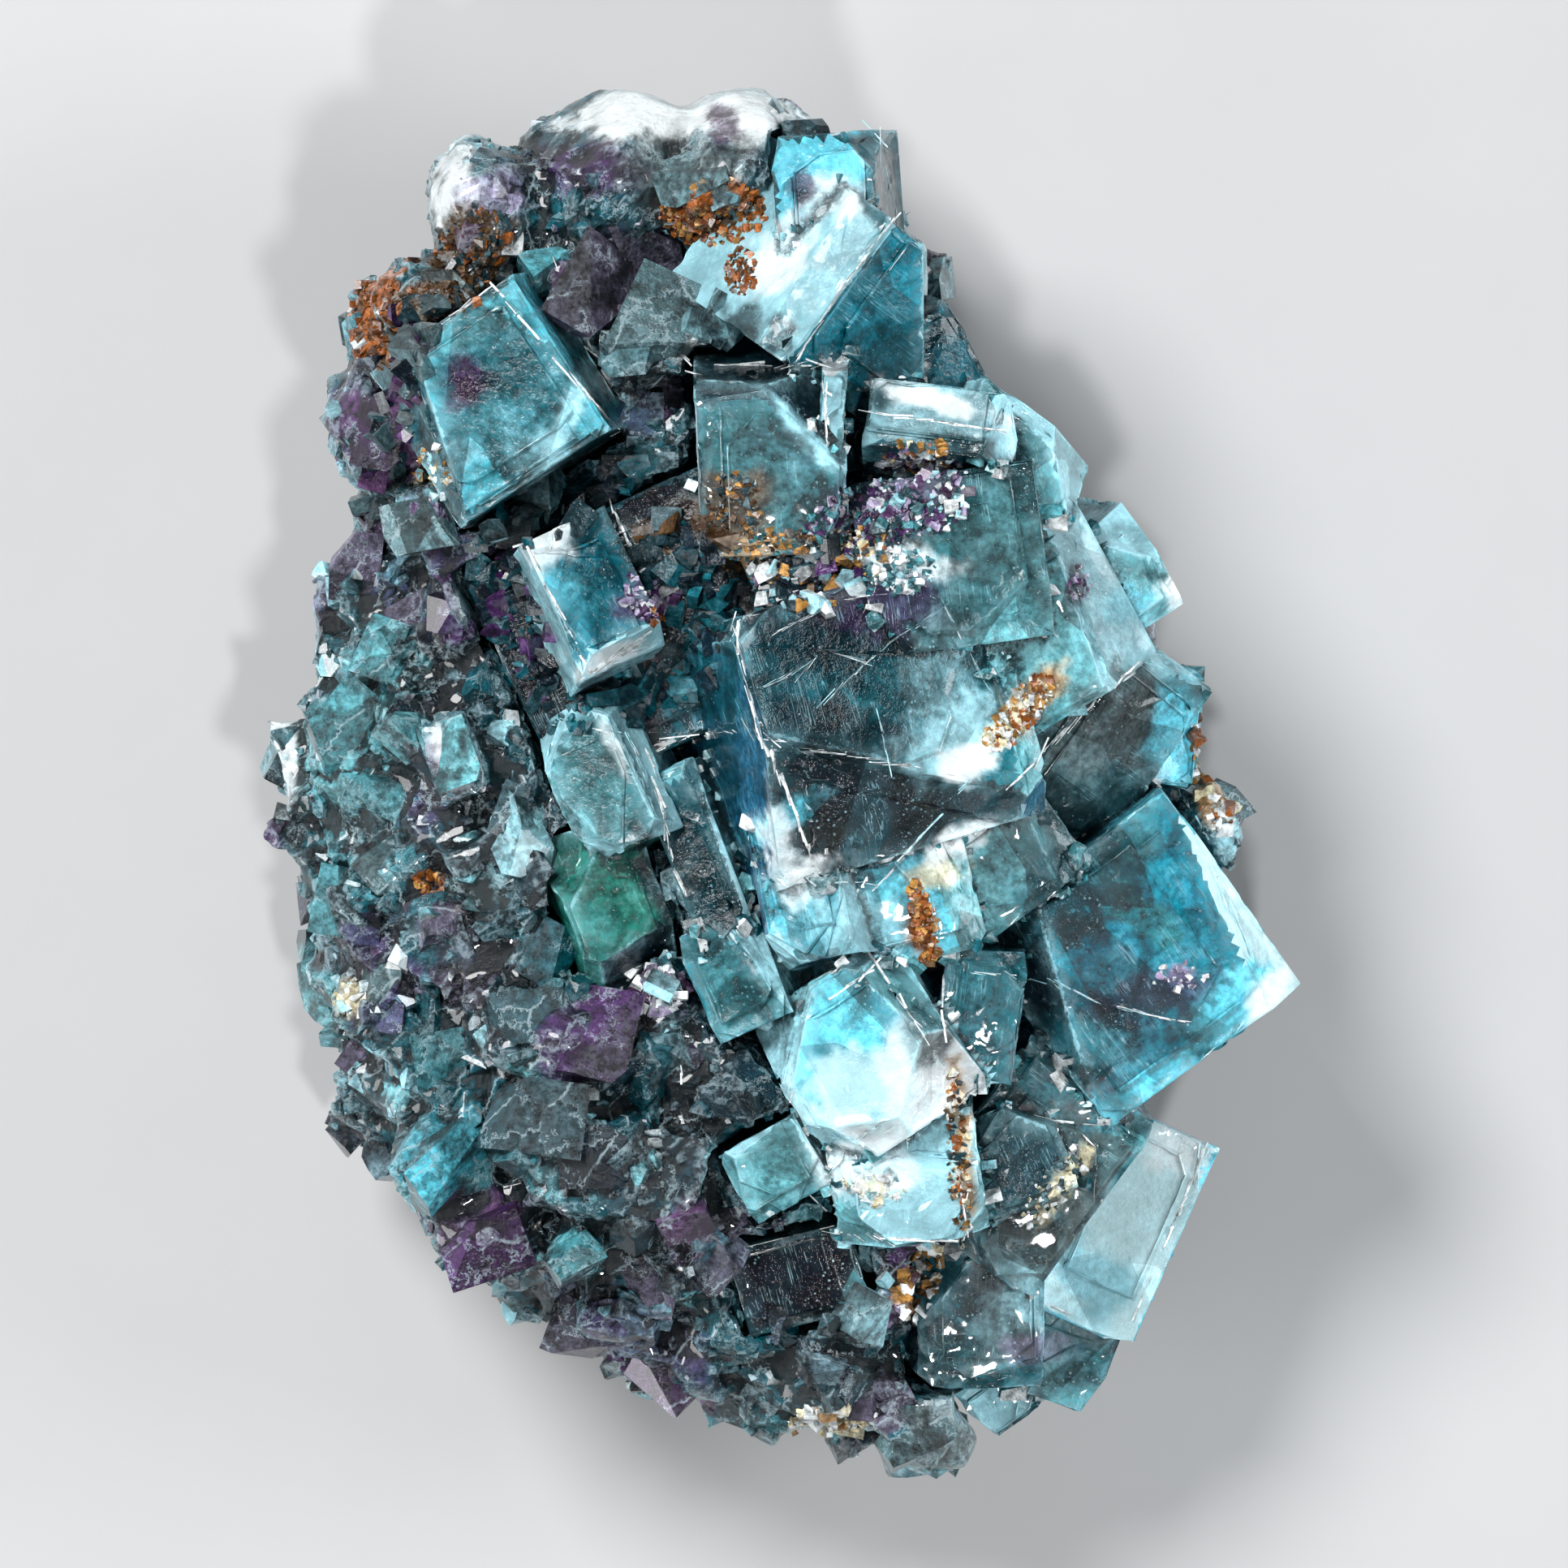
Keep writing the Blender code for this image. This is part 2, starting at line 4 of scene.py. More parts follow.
import bmesh
import bpy
import numpy as np
from mathutils import Matrix, Vector, noise
from mathutils.bvhtree import BVHTree


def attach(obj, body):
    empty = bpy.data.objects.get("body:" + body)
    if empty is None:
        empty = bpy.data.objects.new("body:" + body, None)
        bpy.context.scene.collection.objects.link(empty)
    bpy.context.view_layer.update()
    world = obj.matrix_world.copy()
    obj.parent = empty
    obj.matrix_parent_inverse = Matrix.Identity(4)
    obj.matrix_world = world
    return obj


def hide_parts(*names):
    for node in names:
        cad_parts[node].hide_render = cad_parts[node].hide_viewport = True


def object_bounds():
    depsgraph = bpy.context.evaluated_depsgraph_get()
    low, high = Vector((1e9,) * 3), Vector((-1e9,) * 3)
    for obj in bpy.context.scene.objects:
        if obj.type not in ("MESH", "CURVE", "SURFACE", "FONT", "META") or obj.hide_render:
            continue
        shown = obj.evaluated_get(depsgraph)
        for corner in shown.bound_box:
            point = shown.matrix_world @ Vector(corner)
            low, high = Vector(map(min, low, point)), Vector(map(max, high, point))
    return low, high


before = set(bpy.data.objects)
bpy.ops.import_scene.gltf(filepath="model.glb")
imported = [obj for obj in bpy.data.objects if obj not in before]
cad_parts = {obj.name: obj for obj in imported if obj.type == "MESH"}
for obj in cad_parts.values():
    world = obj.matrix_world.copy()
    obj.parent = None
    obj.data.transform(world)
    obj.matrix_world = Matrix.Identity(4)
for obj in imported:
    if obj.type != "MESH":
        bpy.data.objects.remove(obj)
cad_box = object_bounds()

MM = 0.001
BODY = "root"

# The footprint's centre is the origin, this far from the middle of the layout below
SHIFT = Vector((0.332, -0.022, 0.0)) * MM

# Crystals: name, centre of the top face (x, y, z), length across, length along, depth,
# turn of the top face, bearing that it leans towards and lean, in mm and degrees
MAIN_CRYSTALS = (
    ("centre", 6.3, 4.0, 31.0, 16.0, 15.4, 14.0, 16.5, 16.5, 20),
    ("centre_north", -0.7, 17.4, 32.0, 8.5, 10.0, 13.0, 2, -90, 15),
    ("crown", 5.8, 25.6, 29.0, 10.2, 10.2, 12.0, 54, -36, 42),
    ("crown_cube", 2.2, 33.4, 29.0, 6.0, 6.4, 9.0, 4, 190, 10),
    ("crown_foot", 8.6, 23.2, 25.5, 5.6, 6.0, 9.0, 30, -20, 30),
    ("ledge", 8.8, 20.6, 30.5, 8.6, 4.0, 10.0, -8, 95, 22),
    ("shoulder", 12.6, 16.8, 28.5, 8.6, 9.0, 12.0, -33, 10, 16),
    ("shoulder_inner", 9.6, 12.6, 30.8, 10.5, 10.0, 12.0, 8, 0, 8),
    ("flank", 14.2, 8.6, 28.0, 11.6, 10.4, 13.0, 30, -30, 12),
    ("blade_face", 17.5, 1.6, 22.0, 14.2, 9.8, 10.0, 54, -36, 42),
    ("big_cube", 20.0, -9.9, 22.5, 13.9, 13.9, 13.5, 36, -15, 6),
    ("window", 11.0, -13.1, 25.6, 4.8, 7.6, 10.0, -8, -90, 6),
    ("column", 0.4, -4.6, 28.6, 5.4, 11.0, 10.0, 12, 180, 28),
    ("saddle", 6.0, -7.0, 27.6, 10.0, 7.0, 10.0, 14, -60, 10),
    ("saddle_east", 12.8, -4.6, 24.6, 7.6, 6.0, 9.0, 36, -60, 14),
    ("glow", 4.3, -15.4, 28.4, 9.8, 10.4, 13.0, 33, 200, 8),
    ("glow_foot", 6.9, -22.6, 26.0, 8.6, 7.2, 11.0, 8, -90, 12),
    ("grey_block", 14.0, -21.8, 21.6, 12.4, 9.0, 12.0, 54, -60, 8),
    ("grey_cap", 13.2, -21.0, 23.2, 5.6, 6.0, 8.0, 25, 60, 8),
    ("grey_foot", 11.2, -30.6, 18.6, 7.4, 8.0, 11.0, 0, -60, 12),
    ("south_corner", 16.0, -33.0, 13.6, 5.4, 5.0, 7.0, -20, -40, 15),
    ("south_tooth", 12.6, -35.0, 13.0, 4.6, 3.6, 7.0, 35, -60, 10),
    ("dark_floor", -8.6, 8.6, 25.0, 15.0, 14.0, 10.0, 25, 180, 4),
    ("hollow", 1.6, 11.4, 29.8, 6.6, 5.4, 8.0, 24, -70, 16),
    ("east_slab", 22.2, 3.4, 17.4, 3.6, 7.0, 8.0, -6, 0, 24),
    ("prism", 2.7, 20.8, 32.4, 1.5, 4.6, 5.0, -4, -90, 12),
    ("flank_edge", 19.2, 11.6, 22.6, 5.4, 6.6, 8.0, 30, -10, 22),
    ("west_prism", -4.8, -4.4, 26.8, 3.4, 11.6, 9.0, 21, 180, 10),
    ("west_block", -3.0, -10.8, 26.8, 4.8, 6.6, 9.0, 24, 200, 16),
    ("pale_cubes", -0.6, -21.8, 25.4, 5.2, 4.6, 8.0, 30, 220, 12),
    ("south_pocket", 0.8, -28.2, 21.6, 7.2, 5.4, 8.0, 15, -100, 18),
)
UPPER_CUBE = (("upper_cube", -16.9, 21.4, 29.4, 10.4, 10.4, 10.0, 33, 200, 8),)
SMALL_CUBE = (("small_cube", -10.5, 10.9, 30.4, 5.3, 8.5, 7.0, 25, 50, 14),)
GREEN_CRYSTALS = (
    ("pale_green", -10.4, 0.4, 27.6, 5.8, 8.8, 7.0, 24, 180, 14),
    ("dark_green", -9.4, -7.0, 26.0, 5.6, 9.8, 8.0, 20, 0, 12),
)
BLADE = (("blade", 19.4, -25.2, 15.8, 12.6, 6.4, 5.0, 66, -23, 5),)

# Corners lost to cleavage: crystal, corner of its top face and depth of the break
CLEAVED = {
    "centre": (((-1, -1), 2.6), ((1, -1), 1.8)),
    "centre_north": (((1, 1), 3.0),),
    "crown": (((1, -1), 3.9), ((-1, -1), 1.2)),
    "crown_cube": (((1, 1), 1.1),),
    "shoulder": (((1, 1), 2.6), ((1, -1), 1.6)),
    "flank": (((1, 1), 1.6), ((1, -1), 1.2)),
    "saddle_east": (((1, 1), 1.2),),
    "big_cube": (((-1, 1), 2.4),),
    "window": (((1, 1), 1.3), ((-1, -1), 1.2)),
    "column": (((-1, 1), 1.6), ((-1, -1), 1.4)),
    "glow": (((-1, 1), 3.0), ((-1, -1), 2.4), ((1, 1), 2.0)),
    "glow_foot": (((-1, -1), 2.0), ((1, -1), 1.4)),
    "grey_cap": (((1, 1), 1.6), ((-1, 1), 1.2)),
    "pale_green": (((-1, 1), 1.9), ((1, 1), 1.6), ((1, -1), 1.2), ((-1, -1), 1.6)),
    "dark_green": (((-1, -1), 1.8), ((1, 1), 1.4)),
    "blade": (((1, 1), 0.6),),
}

# Broken faces: crystal, then a point on the break (mm), the bearing that it faces, its slope
# in degrees (0 faces up) and its tint
BREAKS = {
    "centre": ((4.7, 1.55, 31.8, -61, 26, "smoke"), (12.6, 6.0, 28.6, 10, 48, "mist"),
               (2.0, 11.4, 33.0, 120, 40, "ink")),
    "centre_north": ((2.6, 20.0, 32.2, 40, 62, "frost"), (-2.0, 21.8, 33.0, 100, 55, "ink"),
                     (2.4, 13.4, 30.6, -30, 60, "aqua")),
    "crown": ((8.4, 21.4, 25.6, -70, 62, "deep"), (2.6, 26.0, 32.0, 140, 30, "frost")),
    "crown_cube": ((4.6, 36.0, 28.0, 45, 60, "deep"),),
    "ledge": ((12.6, 20.0, 29.4, 0, 50, "frost"), (5.4, 21.6, 30.4, 150, 50, "mist")),
    "shoulder": ((16.0, 18.6, 27.0, 35, 50, "frost"), (14.6, 13.6, 27.2, -50, 40, "aqua")),
    "shoulder_inner": ((5.0, 15.8, 30.4, 140, 35, "smoke"), (13.6, 9.6, 29.6, -40, 30, "mist"),
                       (6.0, 8.0, 30.6, 230, 30, "ink")),
    "flank": ((18.4, 9.6, 25.8, 10, 45, "frost"), (12.0, 3.4, 28.0, -100, 40, "white")),
    "blade_face": ((21.6, 7.4, 20.4, 40, 62, "frost"),),
    # the ice tint on the break at the big cube's right corner is painted glow
    "big_cube": ((14.6, -12.0, 22.0, 200, 40, "ink"), (26.6, -10.0, 21.2, 20, 50, "ice")),
    "column": ((-1.6, -8.6, 27.8, 230, 48, "teal"), (2.4, 0.0, 28.6, 60, 40, "white")),
    "saddle": ((3.0, -9.6, 27.0, 250, 40, "aqua"), (9.6, -6.0, 26.8, 10, 40, "mist")),
    "saddle_east": ((15.8, -3.8, 23.4, 10, 45, "mist"),),
    "glow": ((0.6, -12.0, 28.0, 150, 38, "cyan"), (7.8, -12.2, 27.6, 50, 42, "mist"),
             (8.6, -17.6, 27.2, -20, 40, "white"), (0.2, -18.6, 28.0, 210, 40, "frost"),
             (4.6, -19.8, 27.6, -90, 40, "white")),
    "glow_foot": ((3.4, -24.6, 25.4, 220, 42, "mist"), (9.8, -25.0, 25.2, -45, 40, "frost"),
                  (7.0, -21.0, 26.0, 80, 18, "frost")),
    "grey_block": ((19.6, -19.0, 20.4, 40, 45, "mist"), (10.6, -26.0, 20.8, 215, 45, "smoke")),
    "grey_cap": ((11.6, -19.0, 22.8, 140, 40, "smoke"),),
    "grey_foot": ((8.6, -28.0, 18.2, 150, 45, "teal"), (12.6, -33.4, 17.6, -70, 45, "teal")),
    "hollow": ((2.0, 13.2, 29.4, 100, 40, "ink"), (-0.6, 10.2, 29.4, 200, 40, "smoke")),
    "flank_edge": ((21.4, 13.0, 21.4, 50, 45, "frost"), (21.6, 9.4, 20.6, -40, 50, "aqua")),
    "west_prism": ((-6.6, 0.2, 26.4, 120, 42, "mist"), (-3.0, -9.4, 26.2, -50, 45, "royal")),
    "west_block": ((-4.6, -12.8, 26.2, 230, 45, "haze"), (-1.6, -8.8, 26.6, 40, 38, "frost")),
    "pale_cubes": ((-2.4, -20.4, 25.0, 140, 45, "frost"),),
    "south_pocket": ((3.2, -30.4, 20.8, -40, 45, "mist"),),
    "upper_cube": ((-20.7, 25.1, 29.6, 198, 62, "deep"),),
    "small_cube": ((-8.2, 7.4, 29.2, -50, 50, "frost"),),
    "pale_green": ((-12.4, -1.6, 26.6, 215, 50, "aqua"), (-8.4, 2.4, 26.8, 30, 50, "frost")),
    "dark_green": ((-7.4, -9.6, 24.4, -50, 50, "ink"), (-11.6, -4.4, 25.6, 150, 45, "green")),
}

# Tints of each crystal: its top face, the side that its lean brings into view, and the rest
TINTS = {
    "centre": ("teal", "blue", "deep"),
    "centre_north": ("haze", "ink", "deep"),
    "crown": ("royal", "frost", "deep"),
    "crown_cube": ("cyan", "deep", "deep"),
    "crown_foot": ("royal", "deep", "deep"),
    "ledge": ("frost", "teal", "teal"),
    "shoulder": ("mist", "frost", "aqua"),
    "shoulder_inner": ("haze", "smoke", "teal"),
    "flank": ("mist", "frost", "aqua"),
    "blade_face": ("slate", "frost", "aqua"),
    "big_cube": ("royal", "teal", "cyan"),
    "window": ("teal", "teal", "deep"),
    "column": ("cyan", "frost", "blue"),
    "saddle": ("cyan", "mist", "aqua"),
    "saddle_east": ("mist", "frost", "aqua"),
    "glow": ("cyan", "frost", "aqua"),
    "glow_foot": ("frost", "mist", "aqua"),
    "grey_block": ("slate", "smoke", "teal"),
    "grey_cap": ("smoke", "slate", "smoke"),
    "grey_foot": ("slate", "teal", "teal"),
    "south_corner": ("aqua", "teal", "teal"),
    "south_tooth": ("frost", "mist", "teal"),
    "dark_floor": ("ink", "ink", "deep"),
    "hollow": ("smoke", "ink", "ink"),
    "east_slab": ("cyan", "frost", "aqua"),
    "prism": ("frost", "white", "mist"),
    "flank_edge": ("mist", "frost", "aqua"),
    "west_prism": ("deep", "frost", "teal"),
    "west_block": ("haze", "frost", "teal"),
    "pale_cubes": ("mist", "frost", "haze"),
    "south_pocket": ("ink", "deep", "deep"),
    "upper_cube": ("sea", "sea", "deep"),
    "small_cube": ("royal", "frost", "deep"),
    "pale_green": ("aqua", "frost", "green"),
    "dark_green": ("green", "green", "ink"),
    # the blade's ice top is painted glow of light through the thin crystal
    "blade": ("ice", "frost", "cyan"),
}

# How frosted the edges are, where they aren't fully
FAINT_EDGES = {
    "dark_floor": 0.0, "hollow": 0.2, "south_pocket": 0.4, "shoulder_inner": 0.25, "flank": 0.45, "saddle": 0.5,
    "saddle_east": 0.6, "window": 0.5, "grey_block": 0.6, "crown_foot": 0.5, "centre": 0.7,
}

# Places on the lump, centre x, y and radius in mm, where larger smooth crystals show
SMOOTH_SPOTS = (
    (-6.0, 38.4, 5.6), (22.1, 10.4, 3.0), (-17.6, 10.8, 1.8), (-18.6, 1.6, 2.3), (-11.8, -26.6, 2.0),
    (-19.2, -21.4, 3.2), (-17.0, -25.0, 2.8), (-0.8, -22.0, 2.2), (9.0, -37.0, 3.0), (-12.0, -14.6, 2.2),
    (-18.4, 33.2, 1.8), (-8.6, 27.6, 2.6),
)

# Colours of the fluorite, linear RGB
COLOURS = {
    "white": (0.88, 0.94, 0.96),
    # ice: painted glow where light shows through thin or overhanging crystal
    "ice": (0.62, 0.92, 0.98),
    "frost": (0.38, 0.74, 0.84),
    "mist": (0.12, 0.39, 0.44),
    "cyan": (0.13, 0.66, 0.84),
    "aqua": (0.080, 0.33, 0.38),
    "sea": (0.045, 0.30, 0.38),
    "teal": (0.012, 0.17, 0.22),
    "blue": (0.010, 0.10, 0.19),
    "royal": (0.002, 0.22, 0.31),
    "deep": (0.002, 0.068, 0.092),
    "ink": (0.004, 0.015, 0.026),
    "green": (0.014, 0.21, 0.165),
    "haze": (0.045, 0.20, 0.235),
    "slate": (0.060, 0.125, 0.14),
    "dusk": (0.075, 0.065, 0.105),
    "grey": (0.20, 0.26, 0.27),
    "smoke": (0.016, 0.056, 0.072),
    "purple": (0.056, 0.018, 0.090),
    "plum": (0.085, 0.036, 0.105),
    "lavender": (0.36, 0.30, 0.48),
    "rust": (0.30, 0.085, 0.012),
    "ochre": (0.46, 0.23, 0.055),
    "cream": (0.74, 0.66, 0.42),
    "brown": (0.10, 0.050, 0.018),
}

# Patches seen on the crystals: colour, centre x, y, radius along, radius across, bearing of
# the long side (mm and degrees), strength, clearness added
CRYSTAL_PATCHES = (
    # crown
    ("white", -0.6, 29.4, 2.6, 1.6, 54, 0.7, -0.4),
    ("smoke", -2.4, 24.8, 2.6, 1.8, 54, 0.8, 0.2),
    ("deep", 6.0, 23.4, 3.0, 1.6, 30, 0.6, 0.2),
    ("white", 2.8, 33.0, 1.5, 1.4, 0, 0.7, -0.4),
    ("deep", 5.6, 34.4, 2.8, 1.1, 90, 0.9, 0.2),
    ("plum", 0.9, 33.6, 0.7, 0.8, 0, 0.8, 0.0),
    ("cyan", 2.6, 37.4, 2.6, 0.8, 0, 0.6, -0.2),
    # plate north of the centre
    ("frost", 0.9, 19.8, 2.6, 0.6, -50, 0.8, -0.4),
    ("brown", -2.6, 15.2, 2.2, 2.2, 0, 0.8, -0.3),
    ("ochre", -1.6, 13.2, 2.0, 0.7, 20, 0.7, -0.4),
    # ledge and shoulder
    ("white", 8.8, 21.4, 3.6, 0.6, -16, 0.8, -0.6),
    ("deep", 9.4, 18.4, 3.0, 1.3, 0, 0.85, 0.2),
    ("smoke", 5.6, 17.6, 1.8, 1.4, 0, 0.6, 0.1),
    ("frost", 16.6, 17.2, 2.8, 1.0, -60, 0.6, -0.3),
    ("mist", 12.6, 13.2, 3.6, 2.2, -50, 0.5, 0.0),
    ("lavender", 7.6, 16.6, 1.6, 1.8, 0, 0.6, -0.4),
    ("purple", 5.0, 15.4, 2.4, 1.8, 0, 0.6, 0.0),
    ("white", 6.0, 12.8, 3.2, 0.9, -12, 0.8, -0.6),
    ("ochre", 3.2, 11.6, 0.8, 0.9, 0, 0.8, -0.5),
    ("plum", 16.6, 11.2, 0.7, 1.3, 0, 0.7, 0.0),
    ("cyan", 19.4, 10.0, 1.6, 1.0, 20, 0.5, -0.2),
    # centre crystal
    ("ink", 2.4, 8.6, 4.6, 3.0, 10, 0.85, 0.2),
    ("purple", 5.6, 10.0, 3.2, 1.8, 0, 0.8, 0.1),
    ("dusk", 2.6, 10.4, 2.4, 1.0, 20, 0.7, 0.0),
    ("deep", 1.0, 5.6, 3.6, 2.6, 0, 0.8, 0.2),
    ("teal", -4.4, 5.8, 2.6, 3.0, 0, 0.7, 0.1),
    ("ink", 4.2, 2.8, 4.6, 1.3, -10, 0.7, 0.2),
    ("frost", 8.8, 6.4, 1.8, 2.8, 0, 0.6, -0.3),
    ("frost", 9.6, 2.4, 3.4, 2.2, 40, 0.9, -0.6),
    ("white", 10.2, 1.2, 1.8, 1.0, 30, 0.9, -0.7),
    ("ochre", 13.8, 4.4, 2.6, 0.9, 50, 0.8, -0.5),
    ("cream", 12.2, 3.0, 1.8, 0.7, 50, 0.8, -0.6),
    ("smoke", 5.6, -1.0, 3.2, 2.2, -14, 0.6, 0.3),
    ("cyan", -0.2, -2.0, 0.8, 3.2, -62, 0.7, -0.3),
    ("deep", -4.0, 0.8, 1.3, 3.6, 0, 0.7, 0.2),
    # pale plane on the right
    ("grey", 18.4, 3.6, 3.6, 2.0, 54, 0.6, -0.1),
    ("cyan", 22.4, 3.2, 1.4, 2.8, 0, 0.85, -0.3),
    ("white", 22.6, 11.0, 1.2, 2.2, 10, 0.95, -0.4),
    ("frost", 21.6, 8.2, 1.2, 2.0, 0, 0.7, -0.4),
    # big cube
    ("teal", 17.0, -6.0, 4.4, 2.6, 36, 0.9, 0.1),
    ("aqua", 19.6, -2.6, 1.8, 1.6, 36, 0.4, 0.0),
    ("teal", 16.6, -15.0, 4.0, 2.0, 36, 0.8, 0.0),
    ("ink", 14.4, -8.6, 2.0, 1.4, 20, 0.5, 0.2),
    ("ink", 17.0, -12.4, 3.0, 1.0, -30, 0.6, 0.2),
    ("green", 20.4, -7.4, 2.6, 1.2, -40, 0.4, 0.1),
    # painted glow: cyan and white where light shows through the right corner and the lower edge
    ("cyan", 25.6, -12.4, 3.4, 1.5, 40, 1.0, -0.3),
    ("white", 27.8, -11.6, 1.6, 0.8, 50, 0.8, -0.4),
    ("cyan", 20.6, -17.2, 3.8, 0.8, 36, 0.8, -0.2),
    ("lavender", 22.4, -10.6, 1.0, 0.6, 0, 0.8, -0.3),
    ("purple", 21.0, -12.0, 3.0, 1.4, 20, 0.7, 0.1),
    # column, saddle and vein
    ("white", -0.2, -3.8, 0.9, 3.0, 12, 0.7, -0.5),
    ("white", 1.8, -5.0, 1.2, 1.2, 0, 0.7, -0.5),
    ("frost", 4.0, -8.0, 3.0, 1.6, 0, 0.7, -0.4),
    ("rust", 7.9, -8.2, 0.7, 2.5, 12, 1.0, -0.9),
    ("cream", 8.6, -5.0, 1.6, 0.9, 20, 0.8, -0.6),
    ("white", 9.6, -3.2, 2.2, 0.9, 30, 0.8, -0.6),
    # pale rounded crystal and its foot
    ("mist", 2.4, -11.6, 3.6, 1.6, 0, 0.4, -0.1),
    # the ice and white over the rounded crystal are painted glow of light through it
    ("ice", 4.4, -17.2, 3.4, 2.6, 0, 0.8, -0.4),
    ("white", 6.8, -16.0, 1.4, 3.0, 0, 0.6, -0.3),
    ("slate", 8.2, -13.4, 1.2, 2.4, 0, 0.6, 0.1),
    ("white", 4.6, -21.6, 3.2, 1.4, 0, 0.7, -0.5),
    ("cream", 5.0, -22.6, 1.0, 0.7, 0, 0.8, -0.5),
    # grey blocks
    ("grey", 17.6, -26.0, 3.6, 2.0, 54, 0.6, 0.0),
    ("ochre", 10.2, -21.0, 0.6, 4.6, 4, 0.9, -0.7),
    ("cream", 15.6, -23.0, 3.2, 0.6, 54, 0.8, -0.6),
    ("teal", 9.2, -30.4, 1.6, 4.0, 0, 0.7, 0.1),
    ("frost", 13.8, -29.6, 2.6, 2.0, 0, 0.5, -0.2),
    ("lavender", 14.4, -32.0, 1.8, 1.0, 0, 0.6, -0.3),
    ("sea", 17.6, -33.4, 2.0, 1.4, 0, 0.6, 0.0),
)
CUBE_PATCHES = (
    ("purple", -17.8, 22.8, 1.2, 1.1, 30, 1.0, 0.0),
    ("plum", -18.2, 21.8, 0.9, 0.8, 0, 0.8, 0.0),
    ("frost", -12.0, 21.0, 0.6, 4.2, -25, 0.9, -0.4),
    ("frost", -19.0, 18.0, 2.2, 1.0, 30, 0.5, -0.3),
    ("frost", -13.6, 18.4, 1.6, 1.4, 30, 0.7, -0.3),
    ("mist", -17.2, 26.2, 2.8, 1.0, 30, 0.6, -0.2),
    ("teal", -15.0, 23.4, 1.6, 2.2, 0, 0.5, 0.1),
    ("teal", -16.0, 18.4, 2.2, 1.4, 0, 0.4, 0.1),
    ("white", -13.0, 13.4, 1.5, 1.3, 24, 0.8, -0.4),
    ("cyan", -12.2, 11.0, 0.9, 1.8, 24, 0.5, -0.2),
    ("purple", -7.6, 10.8, 1.6, 1.5, 0, 0.95, -0.4),
    ("white", -9.6, 7.0, 2.2, 0.5, 24, 0.9, -0.4),
)
GREEN_PATCHES = (
    ("frost", -12.4, 3.4, 1.6, 0.8, 60, 0.7, -0.3),
    ("white", -9.6, 2.2, 0.4, 2.2, 25, 0.7, -0.3),
    ("mist", -11.4, -0.4, 1.8, 2.2, 0, 0.5, -0.1),
    ("ink", -7.2, -5.0, 1.0, 3.0, 20, 0.9, 0.1),
    ("aqua", -10.6, -8.4, 1.4, 1.6, 0, 0.3, 0.0),
)
BLADE_PATCHES = (
    # painted glow: light showing through the thin blade
    ("ice", 20.0, -25.0, 6.4, 2.6, 61, 0.6, -0.45),
    ("white", 22.4, -20.6, 1.8, 1.6, 0, 0.7, -0.1),
    ("cyan", 17.8, -28.6, 2.4, 2.2, 0, 0.5, 0.0),
)
